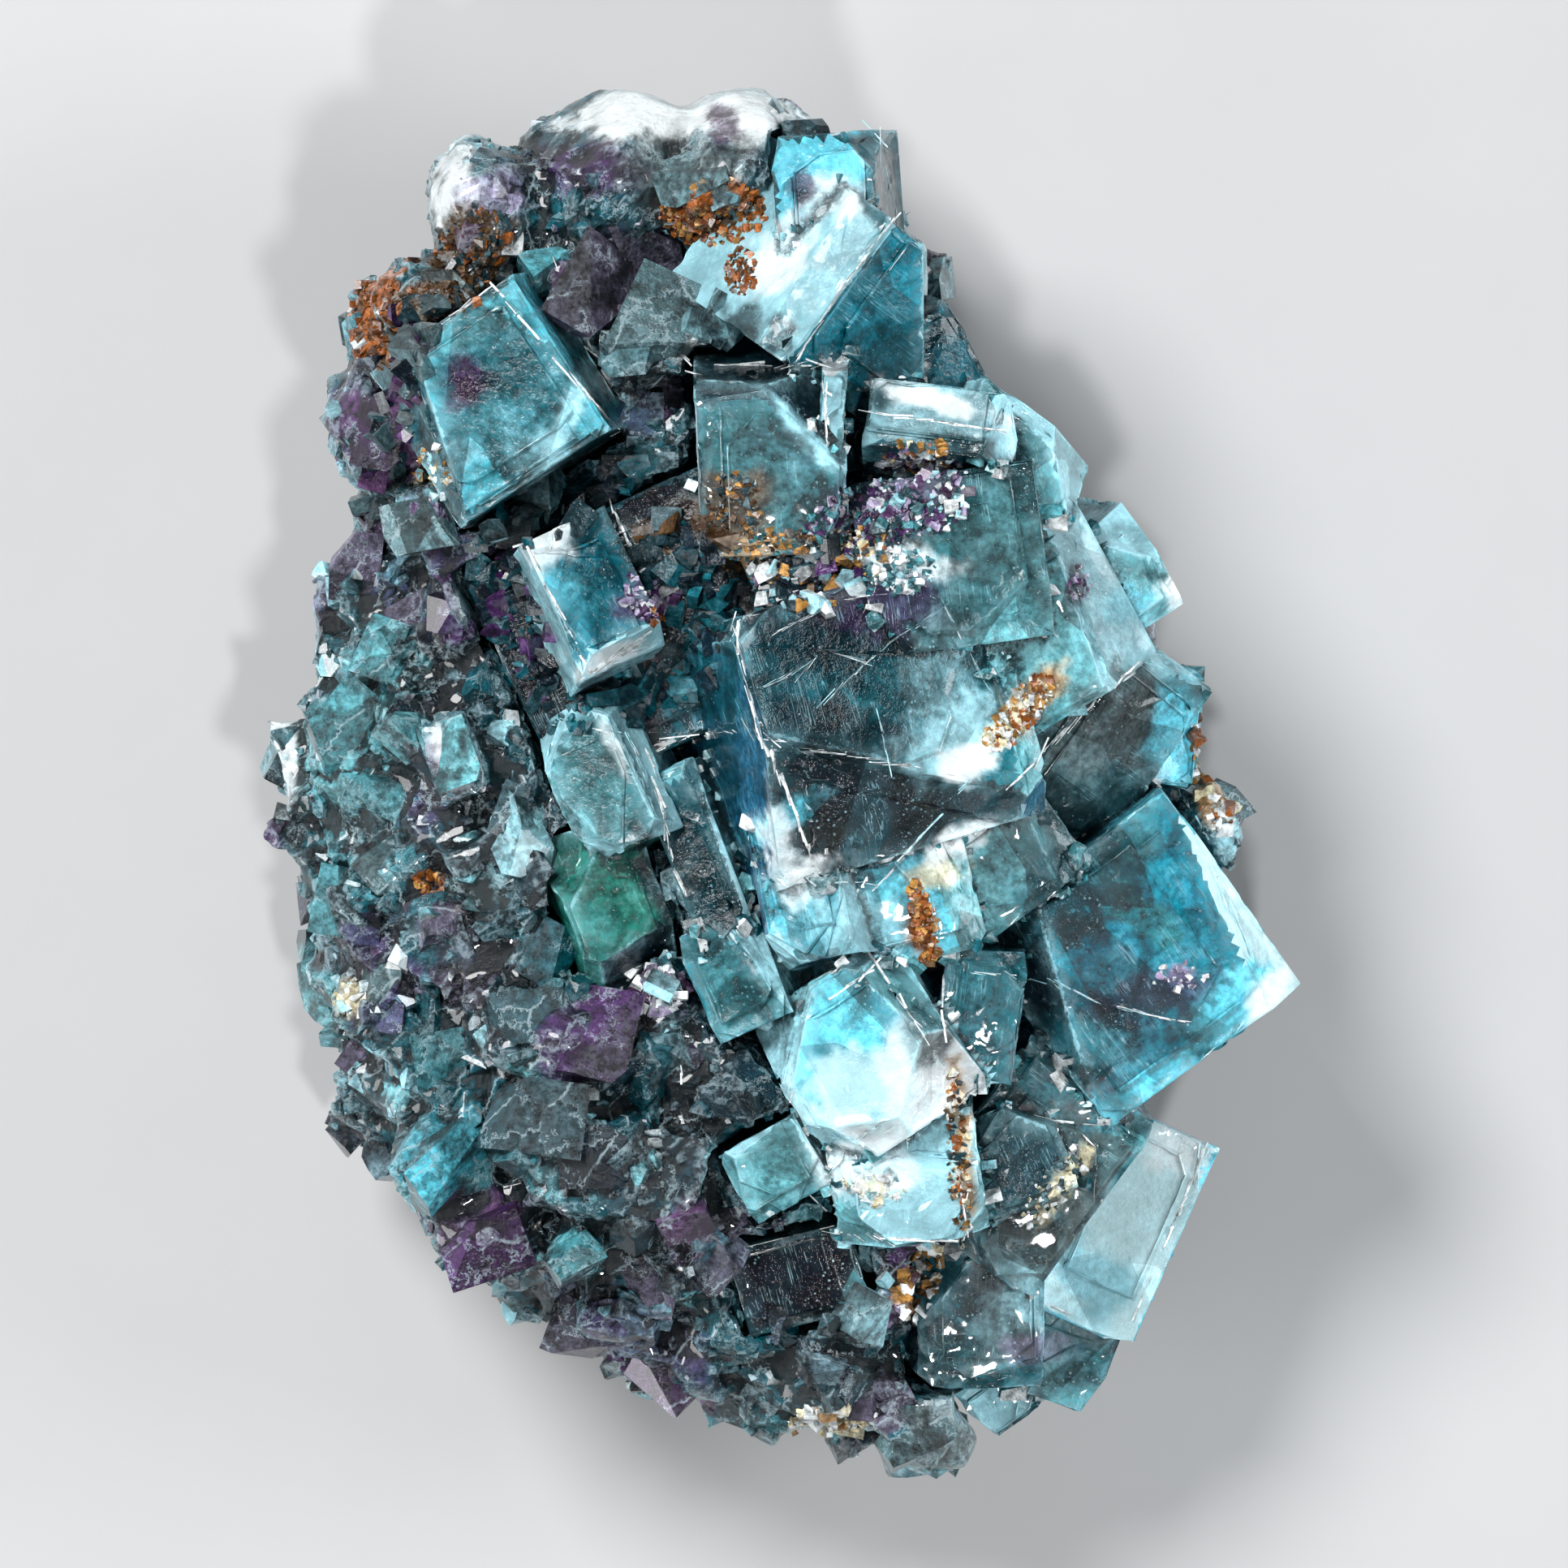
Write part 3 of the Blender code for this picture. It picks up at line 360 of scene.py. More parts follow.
ROCK_PATCHES = (
    # top end
    # the white cap at the top end is painted glow of light through the thin rim
    ("white", -5.6, 38.0, 6.6, 1.7, 0, 1.0, 0.3),
    ("white", -18.6, 33.4, 1.4, 3.2, 0, 0.9, 0.2),
    ("lavender", -16.6, 33.4, 1.8, 1.4, 0, 0.7, 0.0),
    ("purple", -10.8, 34.6, 3.0, 1.5, -10, 0.9, 0.0),
    ("grey", -5.4, 34.6, 3.6, 1.8, 0, 0.6, 0.1),
    ("plum", -3.6, 37.0, 0.8, 1.2, 0, 0.8, 0.0),
    ("rust", -4.0, 32.2, 2.6, 1.7, 0, 1.0, -0.3),
    ("rust", -2.4, 28.8, 0.8, 1.2, 0, 1.0, -0.3),
    ("brown", -17.6, 29.4, 2.4, 3.0, -20, 1.0, -0.3),
    ("rust", -23.2, 26.4, 1.7, 2.6, 0, 1.0, -0.4),
    ("brown", -20.4, 27.4, 2.2, 1.1, 20, 0.9, -0.3),
    ("smoke", -8.6, 29.6, 4.4, 2.6, 0, 0.8, 0.2),
    ("purple", -10.0, 29.8, 1.8, 1.2, 0, 0.6, 0.2),
    ("frost", -11.8, 25.6, 0.6, 3.4, -30, 0.8, 0.2),
    ("white", -4.6, 26.0, 0.7, 2.8, -30, 0.8, 0.1),
    ("slate", -8.0, 23.6, 1.8, 2.8, -30, 0.7, 0.2),
    ("purple", -23.8, 20.6, 2.2, 2.6, 0, 0.8, 0.0),
    ("cream", -19.8, 17.4, 0.9, 1.4, 0, 0.7, -0.1),
    # west side
    ("ink", -13.6, 12.0, 5.0, 3.8, 0, 0.95, 0.0),
    ("deep", -12.6, 17.0, 3.4, 2.0, 20, 0.9, 0.1),
    ("purple", -20.8, 12.2, 4.2, 2.8, 0, 0.5, 0.0),
    ("grey", -17.6, 10.8, 1.4, 1.2, 30, 0.9, 0.2),
    # the white at the west rim is painted glow of light through the thin rim
    ("white", -27.6, 13.8, 1.0, 2.2, 0, 0.9, 0.3),
    ("plum", -26.4, 10.6, 1.0, 1.8, 0, 0.7, 0.0),
    ("mist", -24.8, 2.6, 3.4, 4.4, 0, 0.7, 0.2),
    ("haze", -24.0, -4.0, 2.4, 2.6, 0, 0.7, 0.1),
    ("white", -18.6, 1.6, 1.1, 2.0, 0, 0.95, 0.2),
    ("purple", -20.4, -0.4, 2.0, 2.2, 0, 0.7, 0.0),
    # painted glow along the far west rim
    ("white", -28.6, 2.2, 0.8, 4.8, 0, 0.9, 0.3),
    ("rust", -20.0, -5.6, 0.9, 0.7, 0, 0.9, -0.2),
    ("ochre", -12.6, -3.6, 0.7, 0.7, 0, 0.8, -0.2),
    ("ink", -15.6, -3.0, 3.8, 3.6, 0, 0.8, 0.0),
    ("smoke", -19.0, -8.0, 4.2, 2.6, 0, 0.6, 0.1),
    ("purple", -23.0, -10.6, 2.4, 3.0, 0, 0.7, 0.0),
    ("cream", -24.8, -12.0, 1.0, 1.0, 0, 0.8, 0.0),
    ("mist", -27.0, -9.0, 1.4, 6.0, 10, 0.5, 0.3),
    # plates south of the green crystals
    ("ink", -12.0, -14.4, 6.4, 3.0, -12, 0.85, 0.1),
    ("plum", -7.6, -11.8, 1.8, 1.2, 0, 0.9, 0.0),
    ("purple", -12.4, -15.2, 1.6, 2.4, 0, 0.8, 0.0),
    ("frost", -6.4, -14.0, 0.4, 3.4, 20, 0.7, 0.1),
    ("ink", -3.6, -13.4, 1.6, 4.4, 18, 0.85, 0.1),
    ("grey", -0.8, -21.6, 2.4, 2.0, 0, 0.8, 0.2),
    ("ink", -9.0, -21.4, 5.0, 2.4, -8, 0.8, 0.1),
    ("plum", -5.4, -25.2, 1.6, 1.6, 0, 0.9, 0.0),
    ("sea", -19.4, -20.4, 3.2, 2.0, 20, 0.9, 0.2),
    ("plum", -17.4, -25.0, 3.2, 2.0, 0, 0.9, 0.0),
    ("aqua", -11.8, -26.6, 1.6, 1.4, 0, 0.9, 0.2),
    ("deep", 0.4, -28.2, 3.4, 2.4, 0, 0.95, 0.2),
    ("purple", -8.0, -31.6, 4.0, 2.6, -20, 0.7, 0.0),
    ("rust", -2.2, -26.6, 1.0, 0.6, 0, 0.7, -0.2),
    ("ochre", 7.4, -28.4, 1.0, 1.9, -20, 0.9, -0.2),
    ("cream", 2.6, -36.4, 2.0, 0.9, 15, 0.9, -0.1),
    ("grey", 9.4, -37.4, 2.6, 2.2, 0, 0.8, 0.2),
    ("white", 12.6, -35.4, 2.0, 1.2, 40, 0.6, 0.2),
    # east rim
    ("white", 22.2, 10.4, 2.2, 2.4, 0, 0.95, 0.3),
    ("lavender", 21.2, 9.4, 0.7, 1.2, 0, 0.6, 0.0),
    ("ochre", 24.4, 0.4, 1.0, 3.0, 10, 0.8, -0.1),
    ("white", 25.2, 2.4, 1.4, 0.9, 0, 0.9, 0.2),
    ("frost", 25.6, -4.6, 1.4, 2.4, 0, 0.8, 0.2),
)

# Crumbs grown on the surface: centre x, y, radius along, radius across, bearing, number,
# smallest and largest size in mm, and their colours
CLUSTERS = (
    (-4.0, 32.2, 2.6, 1.6, 0, 420, 0.2, 0.6, ("rust", "rust", "brown", "rust", "ochre")),
    (-2.4, 28.8, 0.8, 1.2, 0, 110, 0.2, 0.5, ("rust", "brown", "rust")),
    (-17.8, 29.6, 1.8, 2.8, -20, 260, 0.2, 0.8, ("brown", "rust", "brown", "smoke")),
    (-23.0, 26.4, 1.4, 2.6, 0, 300, 0.2, 0.7, ("rust", "brown", "rust", "rust")),
    (-20.2, 27.2, 2.0, 0.9, 20, 160, 0.2, 0.7, ("brown", "rust", "brown")),
    (7.6, 16.4, 2.6, 2.2, 0, 260, 0.2, 0.8, ("white", "lavender", "plum", "frost", "purple", "smoke")),
    (4.6, 14.8, 3.0, 1.6, 10, 260, 0.2, 0.8, ("lavender", "purple", "smoke", "haze", "ink", "plum")),
    (7.6, 18.4, 1.6, 0.8, 0, 60, 0.2, 0.7, ("ochre", "cream", "white", "rust")),
    (4.0, 12.8, 1.8, 1.4, 0, 150, 0.2, 0.7, ("white", "rust", "ochre", "cream", "smoke")),
    (6.6, 12.0, 1.6, 1.2, 0, 110, 0.2, 0.8, ("white", "frost", "haze")),
    (-2.8, 15.4, 1.4, 1.8, 0, 120, 0.2, 0.6, ("brown", "ochre", "smoke", "brown")),
    (-0.6, 12.8, 2.6, 1.2, 20, 150, 0.2, 0.6, ("ochre", "brown", "smoke", "haze")),
    (-7.4, 10.8, 1.4, 1.3, 0, 110, 0.25, 0.9, ("purple", "lavender", "plum", "lavender")),
    (-7.2, 9.6, 0.6, 0.5, 0, 14, 0.25, 0.6, ("ochre", "rust")),
    (13.2, 4.0, 2.4, 0.9, 50, 170, 0.2, 0.7, ("ochre", "cream", "white", "rust")),
    (7.9, -8.2, 0.6, 2.5, 12, 220, 0.2, 0.6, ("rust", "rust", "ochre")),
    (9.8, -21.2, 0.5, 4.4, 4, 150, 0.2, 0.6, ("ochre", "cream", "brown", "rust", "smoke")),
    (15.4, -22.6, 2.8, 0.8, 54, 90, 0.2, 0.6, ("cream", "white", "slate", "smoke")),
    (7.6, -28.4, 1.0, 2.2, -20, 80, 0.3, 1.1, ("ochre", "cream", "brown", "white")),
    (2.6, -36.2, 2.2, 1.0, 15, 80, 0.3, 1.2, ("cream", "ochre", "white")),
    (24.4, 0.6, 1.0, 3.0, 10, 90, 0.3, 1.1, ("ochre", "white", "cream", "rust")),
    (5.0, -22.6, 1.6, 1.0, 0, 50, 0.25, 0.8, ("cream", "frost", "white")),
    (16.6, 11.4, 0.6, 1.0, 0, 20, 0.2, 0.6, ("plum", "lavender")),
    (-7.4, -11.6, 1.6, 1.2, 0, 60, 0.25, 1.0, ("plum", "lavender", "white")),
    (-20.0, -5.6, 0.8, 0.6, 0, 24, 0.25, 0.7, ("rust", "ochre")),
    (-24.6, -12.0, 1.0, 1.0, 0, 30, 0.3, 0.9, ("cream", "frost")),
    (-19.8, 17.4, 0.9, 1.4, 0, 40, 0.3, 0.9, ("cream", "ochre", "frost")),
    (22.4, -10.8, 1.4, 0.7, 10, 24, 0.2, 0.6, ("lavender", "white")),
    (-21.8, 20.4, 5.0, 0.8, 72, 70, 0.7, 2.0, ("smoke", "purple", "ink", "slate", "plum")),
    (-20.6, 26.6, 2.0, 0.7, 30, 40, 0.6, 1.6, ("smoke", "brown", "purple", "slate")),
    (-12.4, 15.6, 4.4, 1.2, 25, 60, 0.6, 2.2, ("ink", "deep", "smoke", "ink", "teal")),
    (-15.0, 9.4, 1.4, 4.6, 22, 70, 0.6, 2.2, ("ink", "deep", "smoke", "ink", "purple")),
    (-6.0, 13.0, 2.2, 1.8, 0, 60, 0.5, 2.0, ("ink", "deep", "smoke", "brown")),
    (-8.6, 5.0, 4.4, 1.2, 20, 60, 0.5, 2.0, ("ink", "deep", "deep", "teal")),
    (-4.4, 9.6, 1.6, 2.2, 0, 50, 0.5, 1.8, ("ink", "deep", "smoke", "teal")),
    (1.2, 11.6, 2.8, 1.6, 0, 80, 0.4, 1.6, ("smoke", "purple", "white", "frost", "ink", "ochre")),
)

# Bright broken edges: colour, width in mm, and the points that the edge runs through
SLIVERS = (
    ("white", 0.30, ((-2.8, 9.2), (-1.5, 3.2), (0.6, -1.4), (1.9, -5.4))),
    ("white", 0.14, ((-6.2, 2.6), (-2.4, 3.0), (1.6, 1.9), (10.2, 0.4))),
    ("frost", 0.10, ((5.2, 4.2), (5.9, 0.8))),
    ("white", 0.07, ((-0.6, 8.4), (3.4, 10.4), (6.8, 10.8))),
    ("white", 0.07, ((1.0, 6.2), (4.4, 9.4), (5.4, 11.6))),
    ("frost", 0.07, ((2.2, 4.6), (5.8, 7.8), (8.6, 9.6))),
    ("frost", 0.07, ((-1.2, 5.4), (2.6, 7.4), (4.8, 6.8))),
    ("frost", 0.14, ((9.0, 10.0), (10.2, 7.6), (11.8, 4.8))),
    ("frost", 0.20, ((1.9, -5.4), (5.4, -5.6), (10.6, 0.4))),
    ("white", 0.24, ((-5.2, 23.4), (-2.4, 23.6), (2.6, 23.4))),
    ("white", 0.22, ((0.6, 23.6), (3.4, 28.0), (6.6, 32.2))),
    ("frost", 0.20, ((6.6, 32.2), (4.6, 38.0))),
    ("white", 0.26, ((4.9, 20.8), (8.4, 20.4), (13.0, 19.6))),
    ("white", 0.24, ((2.2, 23.2), (2.4, 18.8))),
    ("white", 0.24, ((12.8, 0.0), (13.8, 1.0), (22.4, 9.2))),
    ("frost", 0.10, ((10.8, -10.6), (15.4, -11.2), (18.0, -12.4), (22.4, -13.4))),
    ("white", 0.26, ((12.0, -18.6), (18.6, -19.4), (29.2, -11.8))),
    ("frost", 0.22, ((22.0, 0.4), (29.2, -11.4))),
    ("white", 0.24, ((-18.6, 26.4), (-16.4, 28.0), (-9.3, 19.9), (-17.2, 14.8))),
    ("white", 0.22, ((-14.4, 13.6), (-9.8, 15.8), (-6.6, 9.2), (-10.9, 6.2), (-14.4, 13.4))),
    ("white", 0.26, ((-10.9, 6.2), (-6.8, 8.6))),
    ("white", 0.22, ((-7.6, 1.8), (-6.2, -4.6), (-3.4, -10.8))),
    ("frost", 0.22, ((-12.6, 3.6), (-8.6, 2.6), (-7.4, -1.2))),
    ("white", 0.22, ((-6.4, -11.2), (-5.8, -16.8))),
    ("white", 0.22, ((-13.0, 29.6), (-9.4, 21.4))),
    ("white", 0.24, ((-9.2, 28.4), (-4.4, 22.6))),
    ("white", 0.22, ((0.4, -17.6), (1.6, -12.8), (5.2, -10.2), (8.8, -15.4))),
    ("white", 0.22, ((9.0, -9.8), (9.0, -17.0), (10.4, -25.6))),
    ("white", 0.22, ((21.8, -19.0), (24.2, -20.2), (19.4, -31.6), (14.4, -29.4))),
    ("white", 0.20, ((1.4, -22.4), (2.6, -25.4), (9.6, -25.8))),
)

# Painted light and shade on a small crystal's facets: how much each facet's tint is brightened or darkened
PAINTED_FACET_LIGHT = (0.45, 0.65, 0.85, 1.0, 1.15, 1.45)

# The lump's grains: how many there are, their smallest and largest size in mm, how strongly
# small ones prevail, and how deep they sit as a share of their size
GRAIN_SORTS = ((800, 1.6, 3.6, 1.5, 0.42), (3600, 0.4, 1.4, 1.3, 0.28))

# Larger crystals that show in the lump: centre x, y, length, bearing of the long side (mm and
# degrees) and tint
LUMP_CRYSTALS = (
    (-10.7, 28.0, 5.6, 60, "dusk"), (-7.2, 26.1, 5.8, 65, "slate"), (-12.8, 29.6, 3.6, 30, "haze"),
    (-8.1, 30.4, 4.6, 0, "dusk"), (-22.9, 19.7, 3.8, 80, "purple"), (-24.3, 12.3, 4.0, 85, "dusk"),
    (-20.6, 14.6, 4.2, 10, "slate"), (-22.9, 7.7, 3.6, 70, "haze"), (-24.8, 3.0, 5.4, 50, "haze"),
    (-20.6, 9.5, 3.7, 20, "dusk"), (-17.4, 10.7, 2.8, 150, "mist"), (-18.8, 1.7, 3.8, 110, "mist"),
    (-15.1, -1.6, 3.2, 70, "smoke"), (-22.5, -4.3, 3.4, 40, "slate"), (-18.8, -7.1, 4.2, 20, "dusk"),
    (-25.2, -6.7, 4.0, 80, "haze"), (-26.6, -12.2, 4.0, 95, "mist"), (-22.5, -10.8, 3.7, 30, "slate"),
    (-18.8, -15.4, 4.4, 10, "haze"), (-23.8, -15.4, 3.2, 50, "dusk"), (-14.6, -13.1, 4.2, 5, "smoke"),
    (-10.4, -14.0, 5.4, 75, "purple"), (-7.5, -16.8, 5.0, 70, "deep"), (-14.1, -18.7, 6.0, -8, "smoke"),
    (-10.0, -21.0, 5.0, 0, "ink"), (-19.0, -21.6, 4.8, 35, "sea"), (-16.9, -26.3, 5.0, 20, "purple"),
    (-11.8, -26.5, 3.0, 30, "haze"), (-21.4, -24.4, 3.4, 60, "mist"), (-7.7, -27.6, 5.0, 80, "dusk"),
    (-5.4, -25.0, 3.0, 25, "plum"), (-11.4, -31.4, 4.2, 160, "dusk"), (-6.7, -33.6, 4.2, 150, "purple"),
    (-3.0, -35.4, 3.8, 160, "smoke"), (7.6, -37.2, 4.2, 30, "slate"), (3.8, -33.6, 4.0, 20, "smoke"),
    (-15.4, -29.8, 3.4, 140, "slate"), (-13.2, -9.6, 3.6, 60, "deep"), (-5.2, 34.4, 4.4, 20, "slate"),
)

# Tints of the lump's grains, as often as they come
GRAIN_TINTS = ("deep", "smoke", "purple", "ink", "haze", "teal", "smoke", "plum", "ink", "dusk", "deep", "mist")


def smooth(value):
    value = np.clip(value, 0, 1)
    return value * value * (3 - 2 * value)


def points_of(mesh):
    flat = np.empty(len(mesh.vertices) * 3)
    mesh.vertices.foreach_get("co", flat)
    return flat.reshape(-1, 3)


def normals_of(mesh):
    flat = np.empty(len(mesh.vertices) * 3)
    mesh.vertices.foreach_get("normal", flat)
    return flat.reshape(-1, 3)


def edges_of(mesh):
    flat = np.empty(len(mesh.edges) * 2, dtype=np.int64)
    mesh.edges.foreach_get("vertices", flat)
    return flat.reshape(-1, 2)


def corners_of(mesh):
    """The vertex at each face corner."""
    flat = np.empty(len(mesh.loops), dtype=np.int64)
    mesh.loops.foreach_get("vertex_index", flat)
    return flat


def put_points(mesh, points):
    mesh.vertices.foreach_set("co", points.reshape(-1))
    mesh.update()


def put_colour(mesh, name, colour, domain="POINT"):
    layer = mesh.color_attributes.new(name, "FLOAT_COLOR", domain)
    full = np.ones((len(colour), 4))
    full[:, :3] = colour
    layer.data.foreach_set("color", full.reshape(-1))


def put_value(mesh, name, values, domain="POINT"):
    layer = mesh.attributes.new(name, "FLOAT", domain)
    layer.data.foreach_set("value", np.asarray(values, dtype=float))


def put_vector(mesh, name, vectors, domain="POINT"):
    layer = mesh.attributes.new(name, "FLOAT_VECTOR", domain)
    layer.data.foreach_set("vector", vectors.reshape(-1))


def noise_at(points, length, offset=0.0):
    """Smooth noise in -1..1 at each point, with features of the given length."""
    scaled = points / length + offset
    return np.array([noise.noise(Vector(point)) for point in scaled])


def facet_lift(points, length, reach):
    """A height for each point that tilts the surface differently in each noise cell."""
    lift = np.empty(len(points))
    for index, point in enumerate(points / length):
        centre = noise.voronoi(Vector(point))[1][0]
        tilt = noise.cell_vector(centre * 7.31)
        offset = Vector(point) - centre
        lift[index] = offset.dot(tilt * 2 - Vector((1, 1, 1))) + 0.35 * (tilt.x - 0.5)
    return np.clip(lift, -1, 1) * reach


def convexity(mesh, length, passes):
    """How far each point stands proud of its surroundings, -1 in hollows to 1 on ridges."""
    points, edges, normals = points_of(mesh), edges_of(mesh), normals_of(mesh)
    count = np.maximum(np.bincount(edges.reshape(-1), minlength=len(points)), 1)
    mean = points
    for _ in range(passes):
        total = np.zeros_like(points)
        np.add.at(total, edges[:, 0], mean[edges[:, 1]])
        np.add.at(total, edges[:, 1], mean[edges[:, 0]])
        mean = total / count[:, None]
    proud = np.einsum("ij,ij->i", points - mean, normals)
    return np.clip(proud / length, -1, 1)


def paint(points, base, patches, clear, jitter):
    """Lays the patches over a base colour. Their edges wander by the jitter noise."""
    colour = base.copy()
    clear = clear.copy()
    for name, x, y, along, across, bearing, strength, more_clear in patches:
        dx = (points[:, 0] - SHIFT.x) / MM - x
        dy = (points[:, 1] - SHIFT.y) / MM - y
        turn = math.radians(bearing)
        run = (dx * math.cos(turn) + dy * math.sin(turn)) / along
        side = (dy * math.cos(turn) - dx * math.sin(turn)) / across
        weight = strength * smooth((1.3 - np.hypot(run, side) + 0.6 * jitter) / 0.6)
        colour += (np.array(COLOURS[name]) - colour) * weight[:, None]
        clear += more_clear * weight
    return colour, np.clip(clear, 0.02, 1)


def inside_box(mesh, margin=0.02 * MM):
    """Keeps every point within the solids' box."""
    low = np.array(cad_box[0]) + np.array((margin, margin, 0))
    high = np.array(cad_box[1]) - margin
    put_points(mesh, np.clip(points_of(mesh), low, high))


def show(name, mesh, material, replaced=None):
    """Puts a mesh in the scene as a piece of the cluster."""
    piece = bpy.data.objects.new(name, mesh)
    bpy.context.scene.collection.objects.link(piece)
    mesh.materials.clear()
    mesh.materials.append(material)
    inside_box(mesh)
    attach(piece, BODY)
    if replaced:
        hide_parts(replaced)
    print(name, len(mesh.polygons))
    return piece


# Node materials

def plain(value, socket, tree):
    """Sets a socket: by a link from another output, or by its own value."""
    if isinstance(value, bpy.types.NodeSocket):
        tree.links.new(value, socket)
    else:
        socket.default_value = value


def maths(tree, operation, first, second=0.0, clamp=False):
    node = tree.nodes.new("ShaderNodeMath")
    node.operation = operation
    node.use_clamp = clamp
    plain(first, node.inputs[0], tree)
    plain(second, node.inputs[1], tree)
    return node.outputs[0]


def ramp(tree, value, low, high, to_low=0.0, to_high=1.0):
    node = tree.nodes.new("ShaderNodeMapRange")
    node.interpolation_type = "SMOOTHSTEP"
    tree.links.new(value, node.inputs["Value"])
    for name, number in (("From Min", low), ("From Max", high), ("To Min", to_low), ("To Max", to_high)):
        node.inputs[name].default_value = number
    return node.outputs["Result"]


def blend(tree, amount, first, second, mode="MIX"):
    node = tree.nodes.new("ShaderNodeMix")
    node.data_type = "RGBA"
    node.blend_type = mode
    node.clamp_factor = True
    plain(amount, node.inputs[0], tree)
    plain(first, node.inputs[6], tree)
    plain(second, node.inputs[7], tree)
    return node.outputs[2]


def attribute(tree, name, output="Fac"):
    node = tree.nodes.new("ShaderNodeAttribute")
    node.attribute_name = name
    return node.outputs[output]


def noise_node(tree, place, scale, detail, rough=0.6, warp=0.0):
    node = tree.nodes.new("ShaderNodeTexNoise")
    for name, value in (("Scale", scale), ("Detail", detail), ("Roughness", rough), ("Distortion", warp)):
        node.inputs[name].default_value = value
    tree.links.new(place, node.inputs["Vector"])
    return node.outputs["Fac"]


def dots_node(tree, place, scale, radius):
    """Round dots, one in each cell of a Voronoi pattern."""
    node = tree.nodes.new("ShaderNodeTexVoronoi")
    node.inputs["Scale"].default_value = scale
    tree.links.new(place, node.inputs["Vector"])
    return ramp(tree, node.outputs["Distance"], radius * 0.4, radius, 1, 0)


def shards_node(tree, place, scale, stretch):
    """A brightness for each straight-sided cell of a stretched Voronoi pattern, used as painted reflections of inner
    cleavage planes.
    """
    node = tree.nodes.new("ShaderNodeTexVoronoi")
    node.inputs["Scale"].default_value = scale
    tree.links.new(stretched(tree, place, (0.4, 0.7, 0.5), stretch), node.inputs["Vector"])
    return node.outputs["Color"]


def veins_node(tree, place, wander, scale):
    """Thin wandering lines between the cells of a Voronoi pattern."""
    shifted = tree.nodes.new("ShaderNodeVectorMath")
    shifted.operation = "MULTIPLY_ADD"
    tree.links.new(wander, shifted.inputs[0])
    shifted.inputs[1].default_value = (0.0022, 0.0022, 0.0022)
    tree.links.new(place, shifted.inputs[2])
    node = tree.nodes.new("ShaderNodeTexVoronoi")
    node.feature = "DISTANCE_TO_EDGE"
    node.inputs["Scale"].default_value = scale
    tree.links.new(shifted.outputs[0], node.inputs["Vector"])
    return ramp(tree, node.outputs["Distance"], 0.0, 0.045, 1, 0)


def stretched(tree, place, turn, stretch):
    """The same place, turned and squeezed along one axis, for long streaks."""
    node = tree.nodes.new("ShaderNodeMapping")
    node.inputs["Rotation"].default_value = turn
    node.inputs["Scale"].default_value = stretch
    tree.links.new(place, node.inputs["Vector"])
    return node.outputs[0]


def new_material(name):
    material = bpy.data.materials.new(name)
    material.use_nodes = True
    shader = material.node_tree.nodes["Principled BSDF"]
    shader.inputs["IOR"].default_value = 1.434
    return material, material.node_tree, shader


